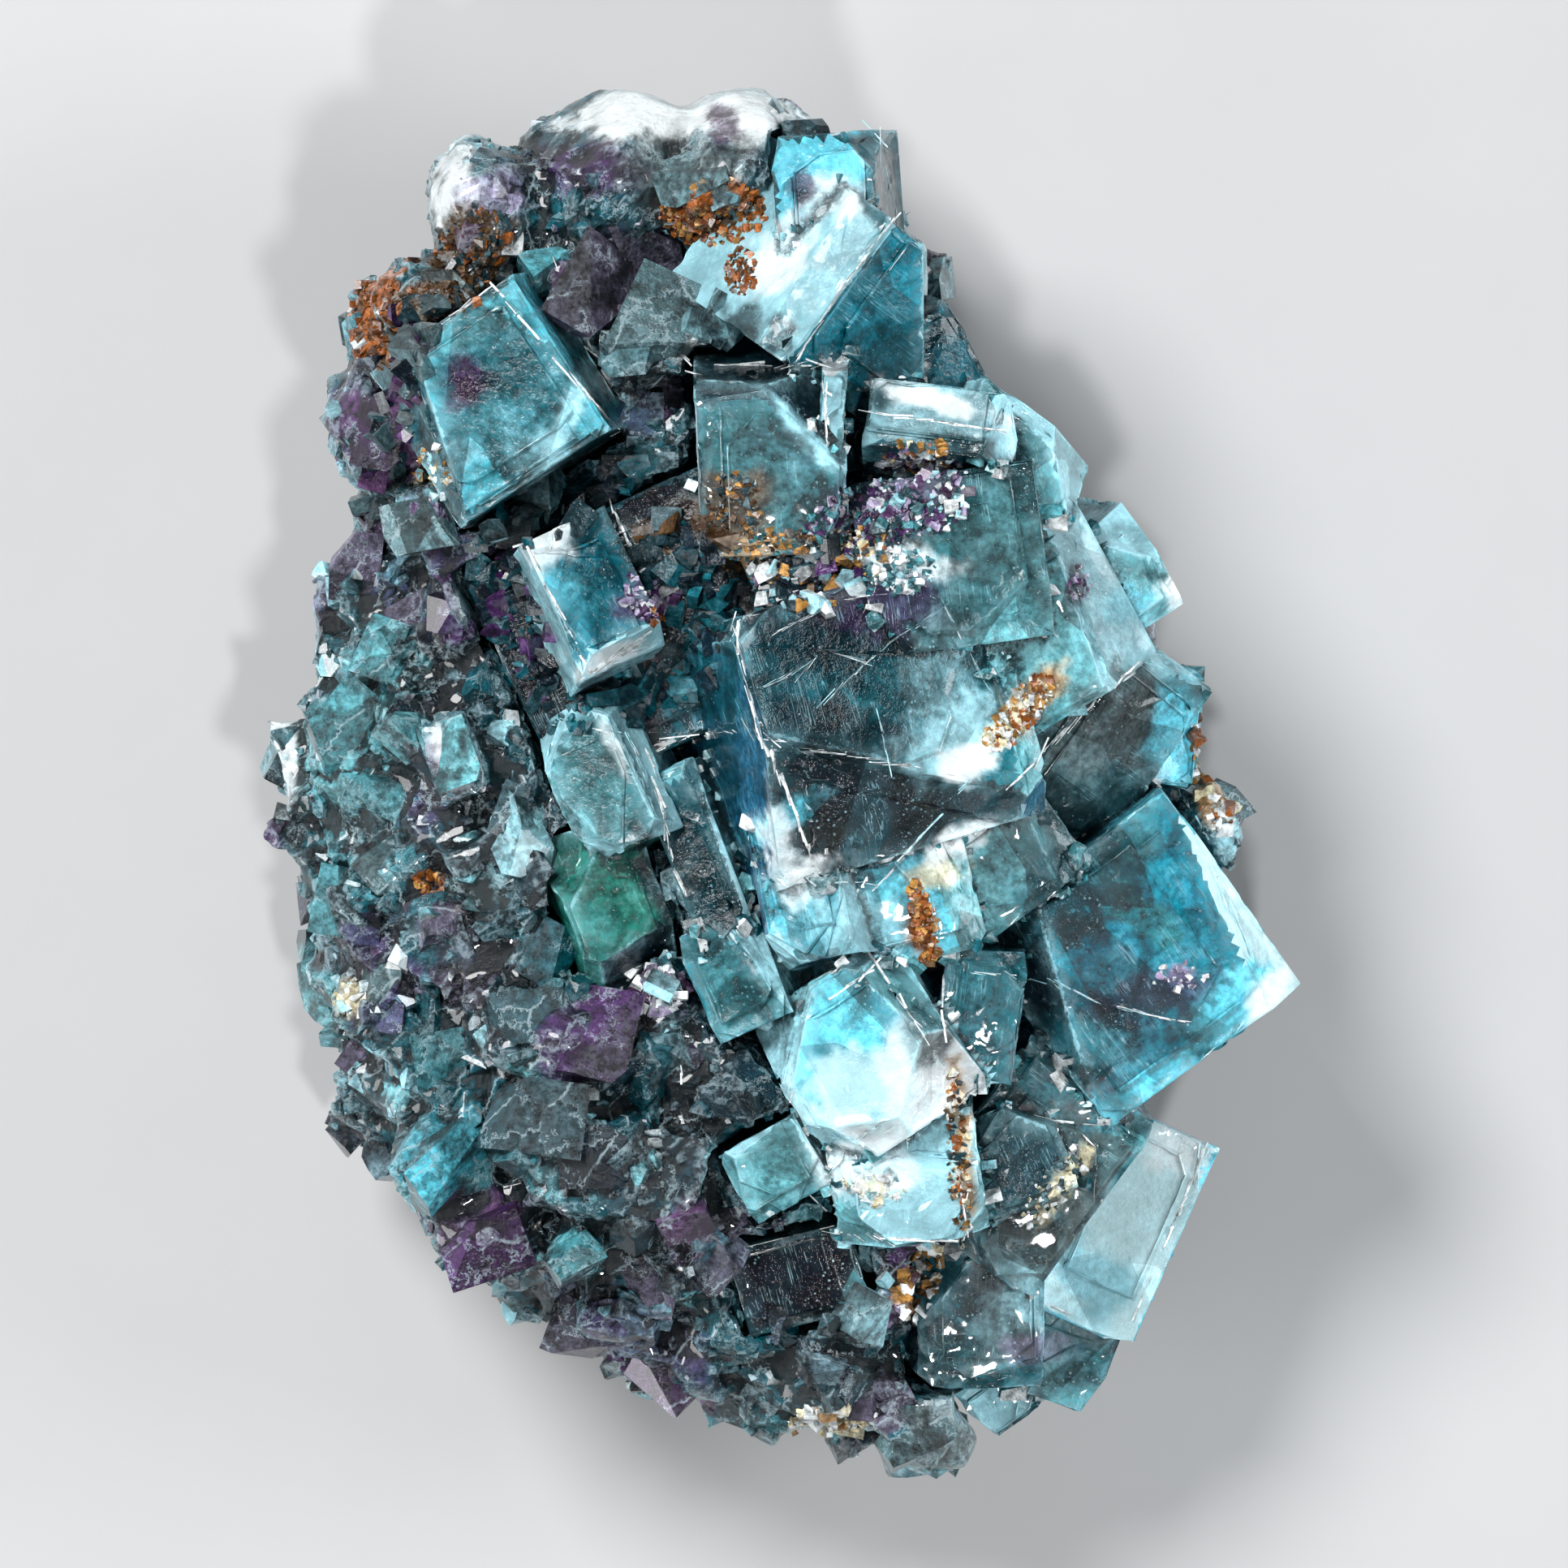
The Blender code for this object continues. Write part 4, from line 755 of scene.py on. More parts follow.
def fluorite(name, veil, scratch, speck, absorb, density):
    """Clear crystal: painted tint, milky veils, growth lines, white specks of painted sparkle and pale worn edges."""
    material, tree, shader = new_material(name)
    place = attribute(tree, "lattice", "Vector")
    tint = attribute(tree, "tint", "Color")
    clear = attribute(tree, "clear")
    edge = attribute(tree, "edge")
    seam = attribute(tree, "seam")
    frost = attribute(tree, "frost")
    cloud = noise_node(tree, place, 330, 5, 0.62, 0.5)
    fine = noise_node(tree, place, 1900, 4, 0.7)
    strand = noise_node(tree, stretched(tree, place, (0.5, 0.3, 0.4), (1.0, 0.05, 0.5)), 2300, 2)

    ragged = maths(tree, "MULTIPLY", maths(tree, "SUBTRACT", fine, 0.5), 0.9)
    rim = ramp(tree, maths(tree, "ADD", edge, ragged), 0.02, 0.26, 1, 0)
    wear = ramp(tree, maths(tree, "ADD", edge, maths(tree, "MULTIPLY", ragged, 3.0)), 0.0, 1.3, 0.42, 0)
    line = ramp(tree, maths(tree, "ABSOLUTE", maths(tree, "SUBTRACT", strand, 0.5)), 0.0, 0.025, scratch, 0)
    line = maths(tree, "MULTIPLY", line, ramp(tree, cloud, 0.50, 0.62))
    # painted sparkle: small white specks where the faces would glint
    dots = maths(tree, "MULTIPLY", dots_node(tree, place, 2600, 0.26), ramp(tree, cloud, 0.40, 0.52, speck, 0))
    milky = maths(tree, "MULTIPLY", ramp(tree, cloud, 0.46, 0.70), ramp(tree, fine, 0.30, 0.66, 0.2 * veil, veil))
    milky = maths(tree, "MULTIPLY", milky, ramp(tree, tint, 0.0, 0.3, 0.35, 1.0))
    worn = maths(tree, "MULTIPLY", maths(tree, "MAXIMUM", rim, wear), frost)
    worn = maths(tree, "MULTIPLY", worn, ramp(tree, cloud, 0.40, 0.56, 0.2, 1.0))
    white = maths(tree, "MAXIMUM", worn, maths(tree, "MAXIMUM", line, dots))
    white = maths(tree, "MAXIMUM", white, milky, True)

    shade = maths(tree, "MULTIPLY", ramp(tree, cloud, 0.30, 0.62, 0.25, 1.3), ramp(tree, fine, 0.3, 0.7, 0.5, 1.4))
    # painted reflections: each straight-sided cell brighter or darker, as if inner cleavage planes caught the light
    painted_cleavage_light = shards_node(tree, place, 300, (1.0, 0.45, 0.7))
    shade = maths(tree, "MULTIPLY", shade, ramp(tree, painted_cleavage_light, 0.25, 0.75, 0.55, 1.4))
    body = blend(tree, 1.0, tint, shade, "MULTIPLY")
    body = blend(tree, ramp(tree, tint, 0.4, 0.85, 0.0, 0.7), body, tint)
    # painted shade: the tint darkens to near black along the seams where crystals meet
    body = blend(tree, ramp(tree, maths(tree, "ADD", seam, ragged), 0.0, 0.45, 0.85, 0), body, (0.004, 0.012, 0.016, 1))
    pale = blend(tree, 0.55, tint, (0.46, 0.88, 1.0, 1))
    tree.links.new(blend(tree, white, body, pale), shader.inputs["Base Color"])
    solid = maths(tree, "SUBTRACT", 1.0, maths(tree, "MULTIPLY", white, 0.85))
    tree.links.new(maths(tree, "MULTIPLY", clear, solid, True), shader.inputs["Transmission Weight"])
    tree.links.new(ramp(tree, white, 0.0, 1.0, 0.07, 0.42), shader.inputs["Roughness"])
    shader.inputs["Coat Weight"].default_value = 0.3
    shader.inputs["Coat Roughness"].default_value = 0.05
    bumps = tree.nodes.new("ShaderNodeBump")
    bumps.inputs["Strength"].default_value = 0.35
    bumps.inputs["Distance"].default_value = 0.0004
    tree.links.new(fine, bumps.inputs["Height"])
    tree.links.new(bumps.outputs[0], shader.inputs["Normal"])
    volume = tree.nodes.new("ShaderNodeVolumeAbsorption")
    volume.inputs["Color"].default_value = (*absorb, 1)
    volume.inputs["Density"].default_value = density
    tree.links.new(volume.outputs[0], tree.nodes["Material Output"].inputs["Volume"])
    return material


def granular(name):
    """The lump: fused glassy grains, with painted shade darkening the hollows, and pale lines where they meet."""
    material, tree, shader = new_material(name)
    place = tree.nodes.new("ShaderNodeTexCoord").outputs["Object"]
    tint = attribute(tree, "tint", "Color")
    ridge = attribute(tree, "ridge")
    stain = attribute(tree, "stain")
    cloud = noise_node(tree, place, 380, 5, 0.65, 0.6)
    fine = noise_node(tree, place, 2100, 4, 0.7)
    veins = veins_node(tree, place, fine, 380)
    veins = maths(tree, "MULTIPLY", veins, ramp(tree, cloud, 0.42, 0.56, 0.0, 0.75))
    # paler on the ridges: frosted grain edges together with a painted highlight
    bright = maths(tree, "MULTIPLY", ramp(tree, ridge, 0.45, 1.0, 0.0, 0.5), ramp(tree, fine, 0.42, 0.62, 0.0, 1.0))
    white = maths(tree, "MAXIMUM", veins, bright)
    white = maths(tree, "MULTIPLY", white, maths(tree, "SUBTRACT", 1.0, stain), True)
    shade = maths(tree, "MULTIPLY", ramp(tree, cloud, 0.34, 0.62, 0.2, 1.4), ramp(tree, fine, 0.3, 0.7, 0.4, 1.5))
    calm = ramp(tree, tint, 0.4, 0.85, 0.0, 0.8)
    body = blend(tree, calm, blend(tree, 1.0, tint, shade, "MULTIPLY"), tint)
    # painted shade: the colour darkens to near black in the hollows
    hollow = maths(tree, "MULTIPLY", ramp(tree, ridge, 0.1, -0.5, 0.0, 0.92), maths(tree, "SUBTRACT", 1.0, calm))
    body = blend(tree, hollow, body, (0.002, 0.005, 0.007, 1))
    pale = blend(tree, 0.5, tint, (0.72, 0.93, 1.0, 1))
    tree.links.new(blend(tree, white, body, pale), shader.inputs["Base Color"])
    tree.links.new(ramp(tree, stain, 0.0, 1.0, 0.14, 0.8), shader.inputs["Roughness"])
    shader.inputs["Coat Weight"].default_value = 0.5
    shader.inputs["Coat Roughness"].default_value = 0.05
    bumps = tree.nodes.new("ShaderNodeBump")
    bumps.inputs["Strength"].default_value = 0.6
    bumps.inputs["Distance"].default_value = 0.0005
    tree.links.new(fine, bumps.inputs["Height"])
    tree.links.new(bumps.outputs[0], shader.inputs["Normal"])
    return material


def chip_look(name):
    """Small crystals: their own tints, with pale mottling on the frosted ones."""
    material, tree, shader = new_material(name)
    place = tree.nodes.new("ShaderNodeTexCoord").outputs["Object"]
    tint = attribute(tree, "tint", "Color")
    frost = attribute(tree, "frost")
    fine = noise_node(tree, place, 1700, 4, 0.68)
    white = maths(tree, "MULTIPLY", ramp(tree, fine, 0.50, 0.68), maths(tree, "MULTIPLY", frost, 0.8), True)
    body = blend(tree, 1.0, tint, ramp(tree, fine, 0.3, 0.7, 0.4, 1.5), "MULTIPLY")
    pale = blend(tree, 0.55, tint, (0.86, 0.95, 1.0, 1))
    tree.links.new(blend(tree, white, body, pale), shader.inputs["Base Color"])
    tree.links.new(ramp(tree, white, 0.0, 1.0, 0.10, 0.40), shader.inputs["Roughness"])
    shader.inputs["Transmission Weight"].default_value = 0.12
    shader.inputs["Coat Weight"].default_value = 0.3
    shader.inputs["Coat Roughness"].default_value = 0.05
    bumps = tree.nodes.new("ShaderNodeBump")
    bumps.inputs["Strength"].default_value = 0.4
    bumps.inputs["Distance"].default_value = 0.0004
    tree.links.new(fine, bumps.inputs["Height"])
    tree.links.new(bumps.outputs[0], shader.inputs["Normal"])
    return material


# Crystals

def leaning_frame(top, turn, bearing, lean):
    """The matrix of a crystal whose top face is centred on top, turned and leaning."""
    side = math.radians(bearing + 90)
    axis = Vector((math.cos(side), math.sin(side), 0))
    tilt = Matrix.Rotation(math.radians(lean), 4, axis)
    return Matrix.Translation(top) @ tilt @ Matrix.Rotation(math.radians(turn), 4, "Z")


class Crystal:
    """A cube in its own axes, with its broken faces and the tints of all its faces."""

    def __init__(self, row):
        self.name, x, y, z, across, along, depth, turn, bearing, lean = row
        self.matrix = leaning_frame(Vector((x, y, z)) * MM + SHIFT, turn, bearing, lean)
        self.inverse = self.matrix.inverted()
        self.size = Vector((across, along, depth)) * MM
        self.dice = random.Random(self.name)
        self.top, self.showing, self.other = TINTS[self.name]
        self.frost = FAINT_EDGES.get(self.name, 1.0)
        self.breaks = self.broken_faces()
        self.faces = self.cube_faces() + self.breaks

    def cube_faces(self):
        """Each face of the cube as a point, the way it faces and its tint."""
        up = Vector((0, 0, 1))
        faces = [(Vector(), up, self.top), (-up * self.size.z, -up, self.other)]
        for way in (Vector((1, 0, 0)), Vector((-1, 0, 0)), Vector((0, 1, 0)), Vector((0, -1, 0))):
            rises = (self.matrix.to_3x3() @ way).z > 0.1
            faces.append((way * self.size / 2, way, self.showing if rises else self.other))
        return faces

    def broken_faces(self):
        """The broken faces in the same form: cleaved corners, large breaks and small chips."""
        half = self.size / 2
        faces = []
        for (side_x, side_y), loss in CLEAVED.get(self.name, ()):
            normal = Vector((side_x, side_y, 1)).normalized()
            faces.append((Vector((side_x * half.x, side_y * half.y, 0)) - normal * loss * MM, normal, self.showing))
        for x, y, z, facing, slope, tint in BREAKS.get(self.name, ()):
            bend, lift = math.radians(facing), math.radians(slope)
            way = Vector((math.cos(bend) * math.sin(lift), math.sin(bend) * math.sin(lift), math.cos(lift)))
            point = self.inverse @ (Vector((x, y, z)) * MM + SHIFT)
            faces.append((point, self.inverse.to_3x3() @ way, tint))
        for _ in range(2):
            side_x, side_y, side_z = (self.dice.choice(pick) for pick in ((-1, 1), (-1, 1), (0, 1)))
            normal = Vector((side_x, side_y * self.dice.choice((0.3, 1, 1)), side_z + 0.05)).normalized()
            corner = Vector((side_x * half.x, side_y * half.y, 0))
            faces.append((corner - normal * self.dice.uniform(0.3, 0.9) * MM, normal, self.top))
        return faces

    def heights(self, points):
        """How far each point lies in front of each face."""
        rows = np.array(self.inverse)
        local = points @ rows[:3, :3].T + rows[:3, 3]
        spots = np.array([point for point, _, _ in self.faces])
        ways = np.array([way for _, way, _ in self.faces])
        return local @ ways.T - np.einsum("ij,ij->i", spots, ways), ways


def surface_fields(points, crystals):
    """The crystal and the face that each point lies on, and the distances to edge and seam."""
    count = len(points)
    nearest, seam, edge = (np.full(count, 1.0) for _ in range(3))
    owner, face = (np.zeros(count, dtype=int) for _ in range(2))
    for index, crystal in enumerate(crystals):
        heights, ways = crystal.heights(points)
        highest = heights.argmax(axis=1)
        away = np.abs(heights.max(axis=1))
        sines = np.sqrt(np.maximum(1 - (ways @ ways.T) ** 2, 0))[highest]
        across = np.where(sines < 0.15, 1.0, -heights / np.maximum(sines, 0.3))
        closer = away < nearest
        seam = np.where(closer, nearest, np.minimum(seam, away))
        edge = np.where(closer, across.min(axis=1), edge)
        nearest = np.where(closer, away, nearest)
        owner = np.where(closer, index, owner)
        face = np.where(closer, highest, face)
    return owner, face, np.maximum(edge, 0), seam


def depth_within(points, crystals):
    """How deep each point lies within the crystals: negative outside them."""
    deepest = np.full(len(points), -1.0)
    for crystal in crystals:
        heights, _ = crystal.heights(points)
        deepest = np.maximum(deepest, -heights.max(axis=1))
    return deepest


def slice_off(crystal, point, normal):
    """Removes what lies beyond a plane and closes the cut with a flat face."""
    cut = bmesh.ops.bisect_plane(
        crystal,
        geom=crystal.verts[:] + crystal.edges[:] + crystal.faces[:],
        plane_co=point,
        plane_no=normal,
        clear_outer=True,
    )
    edges = [item for item in cut["geom_cut"] if isinstance(item, bmesh.types.BMEdge)]
    bmesh.ops.contextual_create(crystal, geom=edges)


def bevelled_box(low, high, width, breaks):
    """A box from low to high with broken faces and narrow worn edges."""
    box = bmesh.new()
    bmesh.ops.create_cube(box, size=1.0)
    matrix = Matrix.Translation((low + high) / 2) @ Matrix.Diagonal((*(high - low), 1))
    bmesh.ops.transform(box, matrix=matrix, verts=box.verts)
    for point, normal in breaks:
        slice_off(box, point, normal)
    bmesh.ops.bevel(box, geom=box.edges[:], offset=width, segments=2, profile=0.55, affect="EDGES", clamp_overlap=True)
    return box


def link_block(name, box, matrix, collection):
    bmesh.ops.transform(box, matrix=matrix, verts=box.verts)
    bmesh.ops.recalc_face_normals(box, faces=box.faces)
    mesh = bpy.data.meshes.new(name)
    box.to_mesh(mesh)
    box.free()
    block = bpy.data.objects.new(name, mesh)
    collection.objects.link(block)
    return block


def stepped_crystal(crystal, collection, steps):
    """One cubic crystal whose top carries low growth steps."""
    dice, half = crystal.dice, crystal.size / 2
    rise = 0.16 * MM
    skin = rise * steps
    breaks = [(point, way) for point, way, _ in crystal.breaks]
    low = Vector((-half.x, -half.y, -crystal.size.z))
    high = Vector((half.x, half.y, -skin))
    blocks = [link_block(crystal.name, bevelled_box(low, high, 0.2 * MM, breaks), crystal.matrix, collection)]
    for step in range(steps):
        shrink = (0.06 + 0.26 * (step + dice.random()) / steps) if step else 0.02
        left, front = dice.uniform(0, shrink), dice.uniform(0, shrink)
        low = Vector((-half.x + crystal.size.x * left, -half.y + crystal.size.y * front, -skin - 0.6 * MM))
        high = Vector((
            half.x - crystal.size.x * (shrink - left),
            half.y - crystal.size.y * (shrink - front),
            -skin + rise * (step + 1),
        ))
        cuts = list(breaks)
        for _ in range(2):
            side_x, side_y = dice.choice((-1, 1)), dice.choice((-1, 1))
            way = Vector((side_x * dice.uniform(0.3, 1), side_y * dice.uniform(0.3, 1), 0)).normalized()
            corner = Vector((high.x if side_x > 0 else low.x, high.y if side_y > 0 else low.y, 0))
            cuts.append((corner - way * dice.uniform(0.3, 1.6) * MM, way))
        plate = bevelled_box(low, high, 0.05 * MM, cuts)
        blocks.append(link_block(f"{crystal.name}_step_{step}", plate, crystal.matrix, collection))
    return blocks


def settle(obj):
    """The mesh that an object's modifiers make. The object is removed."""
    bpy.context.view_layer.update()
    graph = bpy.context.evaluated_depsgraph_get()
    mesh = bpy.data.meshes.new_from_object(obj.evaluated_get(graph))
    bpy.data.objects.remove(obj)
    return mesh


def grown_together(name, crystals, steps):
    """Joins crystals into one closed mesh."""
    collection = bpy.data.collections.new(name + "_blocks")
    bpy.context.scene.collection.children.link(collection)
    blocks = []
    for crystal in crystals:
        blocks += stepped_crystal(crystal, collection, steps)
    first = blocks[0]
    collection.objects.unlink(first)
    bpy.context.scene.collection.objects.link(first)
    union = first.modifiers.new("union", "BOOLEAN")
    union.operation = "UNION"
    union.solver = "MANIFOLD"
    union.operand_type = "COLLECTION"
    union.collection = collection
    mesh = settle(first)
    mesh.name = name
    for block in blocks[1:]:
        bpy.data.objects.remove(block)
    bpy.data.collections.remove(collection)
    return mesh


def refine(mesh, longest):
    """Splits long edges until none is longer than the given length."""
    fine = bmesh.new()
    fine.from_mesh(mesh)
    bmesh.ops.triangulate(fine, faces=fine.faces)
    for _ in range(7):
        edges = [
            edge for edge in fine.edges
            if edge.calc_length() > longest * (1 if any(face.normal.z > 0.1 for face in edge.link_faces) else 3)
        ]
        if not edges:
            break
        bmesh.ops.subdivide_edges(fine, edges=edges, cuts=1)
        bmesh.ops.triangulate(fine, faces=[face for face in fine.faces if len(face.verts) > 3])
    fine.to_mesh(mesh)
    fine.free()
    mesh.update()


def finish_crystal(mesh, crystals, patches, clear):
    """Refines a crystal mesh, wears its edges, roughens its faces and paints it."""
    refine(mesh, (0.66) * MM)
    points, normals = points_of(mesh), normals_of(mesh)
    corners = corners_of(mesh)
    _, _, edge, seam = surface_fields(points, crystals)
    owner, face, _, _ = surface_fields(points[corners].reshape(-1, 3, 3).mean(axis=1), crystals)

    rough = noise_at(points, 1.3 * MM) + 0.5 * noise_at(points, 0.5 * MM, 7.0)
    chipped = np.exp(-edge / (0.35 * MM)) * smooth((rough - 0.1) / 0.5) * 0.32
    terrace = np.floor((noise_at(points, 4.5 * MM, 3.0) + 0.2 * rough) * 5) / 5
    swell = 0.13 * (terrace - 0.8) + facet_lift(points, 2.6 * MM, 0.10) - 0.06
    swell = swell * smooth(edge / (0.8 * MM)) * smooth((normals[:, 2] + 0.3) / 0.5)
    put_points(mesh, points + normals * ((swell - chipped) * MM)[:, None])

    most = max(len(crystal.faces) for crystal in crystals)
    table = np.zeros((len(crystals), most, 3))
    for index, crystal in enumerate(crystals):
        for number, (_, _, tint) in enumerate(crystal.faces):
            # painted light and shade: each face's tint made a little brighter or darker
            table[index, number] = np.array(COLOURS[tint]) * crystal.dice.uniform(0.8, 1.25)
    base = np.repeat(table[owner, face], 3, axis=0)
    jitter = noise_at(points, 2.0 * MM, 11.0) + 0.7 * noise_at(points, 0.7 * MM, 5.0)
    spots = points[corners]
    colour, clearness = paint(spots, base, patches, np.full(len(corners), clear), jitter[corners])
    matrices = np.array([crystal.inverse for crystal in crystals])[np.repeat(owner, 3)]
    lattice = np.einsum("nij,nj->ni", matrices[:, :3, :3], spots) + matrices[:, :3, 3]
    lattice[:, 2] += np.repeat(owner, 3) * 0.031
    put_colour(mesh, "tint", colour, "CORNER")
    frosts = np.array([crystal.frost for crystal in crystals])
    put_value(mesh, "clear", clearness, "CORNER")
    put_value(mesh, "frost", np.repeat(frosts[owner], 3), "CORNER")
    put_vector(mesh, "lattice", lattice, "CORNER")
    put_value(mesh, "edge", np.minimum(edge / MM, 5))
    put_value(mesh, "seam", np.minimum(seam / MM, 5))
    mesh.shade_smooth()
    mesh.set_sharp_from_angle(angle=math.radians(22))


# The lump

def rock_mesh():
    """The lump's solid, remeshed finely."""
    work = bpy.data.objects.new("rock_work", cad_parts["granular_base"].data.copy())
    bpy.context.scene.collection.objects.link(work)
    weld = work.modifiers.new("weld", "WELD")
    weld.merge_threshold = 0.00001
    remesh = work.modifiers.new("remesh", "REMESH")
    remesh.mode = "VOXEL"
    remesh.voxel_size = 0.45 * MM
    return settle(work)


def spot_reach(points):
    """Distance to the nearest smooth spot in its own radii. The spots end above the lump's foot."""
    reach = np.full(len(points), 9.0)
    for x, y, radius in SMOOTH_SPOTS:
        away = np.hypot((points[:, 0] - SHIFT.x) / MM - x, (points[:, 1] - SHIFT.y) / MM - y)
        reach = np.minimum(reach, away / radius)
    return reach + 2 * smooth((13 - points[:, 2] / MM) / 4)


def grain_colours(points, normals, jitter):
    """The painted colour of the lump at each point. The patches fade out down its steep sides."""
    cells = [noise.voronoi(Vector(point))[1][0] for point in points / (4.0 * MM)]
    pick = np.array([noise.cell(Vector(centre) * 5.77) for centre in cells])
    palette = np.array([COLOURS[name] for name in GRAIN_TINTS])
    choice = np.clip((pick * len(palette)).astype(int), 0, len(palette) - 1)
    base = palette[choice]
    colour, _ = paint(points, base, ROCK_PATCHES, np.zeros(len(points)), jitter)
    shown = smooth((normals[:, 2] + 0.15) / 0.4) * smooth((points[:, 2] / MM - 3) / 6)
    return base + (colour - base) * shown[:, None]


def painted_rim_glow(points, normals, jitter):
    """How much painted glow each point of the lump's steep sides gets, as a pale frost tint."""
    steep = smooth((0.40 - normals[:, 2]) / 0.5)
    return steep * smooth((jitter + 0.45) / 0.7) * smooth((points[:, 2] - 2 * MM) / (5 * MM))


def rock(mesh):
    """Breaks the lump's surface up into small facets and paints it."""
    points, normals = points_of(mesh), normals_of(mesh)
    free = smooth((points[:, 2] - 0.25 * MM) / (1.2 * MM))
    free *= 0.2 + 0.8 * smooth((spot_reach(points) - 0.6) / 0.6)
    lift = facet_lift(points, 2.3 * MM, 0.42 * MM) + facet_lift(points, 1.1 * MM, 0.18 * MM)
    put_points(mesh, points + normals * ((lift - 0.25 * MM) * free)[:, None])
    points, normals = points_of(mesh), normals_of(mesh)
    ridge = convexity(mesh, 0.10 * MM, 3) * 0.6 + convexity(mesh, 0.35 * MM, 9) * 0.6
    jitter = noise_at(points, 2.6 * MM, 11.0) + 0.6 * noise_at(points, 1.0 * MM, 5.0)
    colour = grain_colours(points, normals, jitter)
    # painted glow: a pale frost tint over the steep sides
    colour += (np.array(COLOURS["frost"]) - colour) * (0.62 * painted_rim_glow(points, normals, jitter))[:, None]
    stain = np.clip(1 - np.linalg.norm(colour - np.array(COLOURS["rust"]), axis=1) / 0.22, 0, 1)
    put_colour(mesh, "tint", colour)
    # ridge: convexity, which the lump's look turns into painted shade in the hollows and paler ridges
    put_value(mesh, "ridge", ridge)
    put_value(mesh, "stain", stain)
    mesh.shade_smooth()
    mesh.set_sharp_from_angle(angle=math.radians(28))


# Small crystals

def chip_shapes(dice, count, cuts):
    """Unit chips: cubes with corners cut off, as points, triangles and each triangle's facet."""
    shapes = []
    for _ in range(count):
        chip = bmesh.new()
        bmesh.ops.create_cube(chip, size=1.0)
        for _ in range(cuts):
            normal = Vector([dice.uniform(-1, 1) for _ in range(3)]).normalized()
            slice_off(chip, normal * dice.uniform(0.32, 0.5), normal)
        bmesh.ops.remove_doubles(chip, verts=chip.verts, dist=0.03)
        chip.verts.index_update()
        points = np.array([vert.co for vert in chip.verts])
        faces, facets = [], []
        for number, face in enumerate(chip.faces):
            ring = [vert.index for vert in face.verts]
            faces += [(ring[0], near, far) for near, far in zip(ring[1:], ring[2:])]
            facets += [number] * (len(ring) - 2)
        shapes.append((points, np.array(faces), np.array(facets)))
        chip.free()
    return shapes


class Chips:
    """Small angular crystals, gathered into one mesh."""

    def __init__(self, seed, cuts):
        self.dice = random.Random(seed)
        self.shapes = chip_shapes(self.dice, 24, cuts)
        self.points, self.faces, self.tints, self.frosts, self.rises = [], [], [], [], []
        self.count = 0

    def put(self, centre, axes, size, tint, frost, up=(0, 0, 1)):
        """Adds a chip of the given size along the three axes. Its facets get painted light and shade: their tints
        differ in brightness.
        """
        points, faces, facets = self.dice.choice(self.shapes)
        placed = (points * size) @ np.array(axes).T
        self.points.append(placed + np.array(centre))
        self.rises.append(placed @ np.array(up) / size.max())
        self.faces.append(faces + self.count)
        tints = []
        for _ in range(facets.max() + 1):
            # painted light and shade: each facet's tint made brighter or darker
            colour = np.asarray(tint) * self.dice.choice(PAINTED_FACET_LIGHT)
            if self.dice.random() < 0.10 + 0.25 * frost:
                colour = colour + (np.array(COLOURS["white"]) - colour) * frost * 0.8
            tints.append(colour)
        self.tints.append(np.array(tints)[facets])
        self.frosts.append(np.full(len(points), frost))
        self.count += len(points)

    def any_turn(self):
        """Axes turned in a random way."""
        way = Vector([self.dice.gauss(0, 1) for _ in range(3)]).normalized()
        return Matrix.Rotation(self.dice.uniform(0, math.tau), 3, way)

    def mesh(self, name):
        mesh = bpy.data.meshes.new(name)
        points = np.concatenate(self.points)
        mesh.from_pydata(points, [], np.concatenate(self.faces))
        put_colour(mesh, "tint", np.repeat(np.concatenate(self.tints), 3, axis=0), "CORNER")
        put_value(mesh, "frost", np.concatenate(self.frosts))
        # ridge of each grain: its height on the surface, so the lump's look paints shade on the grains' low sides
        put_value(mesh, "ridge", np.clip(np.concatenate(self.rises) * 1.8 + 0.1, -0.4, 0.9))
        return mesh


def spread(mesh, number, seed):
    """Random spots on a mesh, evenly over its area, with the surface's normals."""
    mesh.calc_loop_triangles()
    triangles = np.array([triangle.vertices[:] for triangle in mesh.loop_triangles])
    corners = points_of(mesh)[triangles]
    across = np.cross(corners[:, 1] - corners[:, 0], corners[:, 2] - corners[:, 0])
    area = np.linalg.norm(across, axis=1)
    dice = np.random.default_rng(seed)
    picked = dice.choice(len(area), number, p=area / area.sum())
    first, second = dice.random(number), dice.random(number)
    over = first + second > 1
    first[over], second[over] = 1 - first[over], 1 - second[over]
    corner, side, other = (corners[picked, index] for index in range(3))
    spots = corner + (side - corner) * first[:, None] + (other - corner) * second[:, None]
    return spots, across[picked] / np.maximum(area[picked], 1e-12)[:, None]


def level_axes(normal, way):
    """Axes that lie along a way, flat on a surface with the given normal."""
    first = (way - normal * way.dot(normal)).normalized()
    return Matrix((first, normal.cross(first), normal)).transposed()


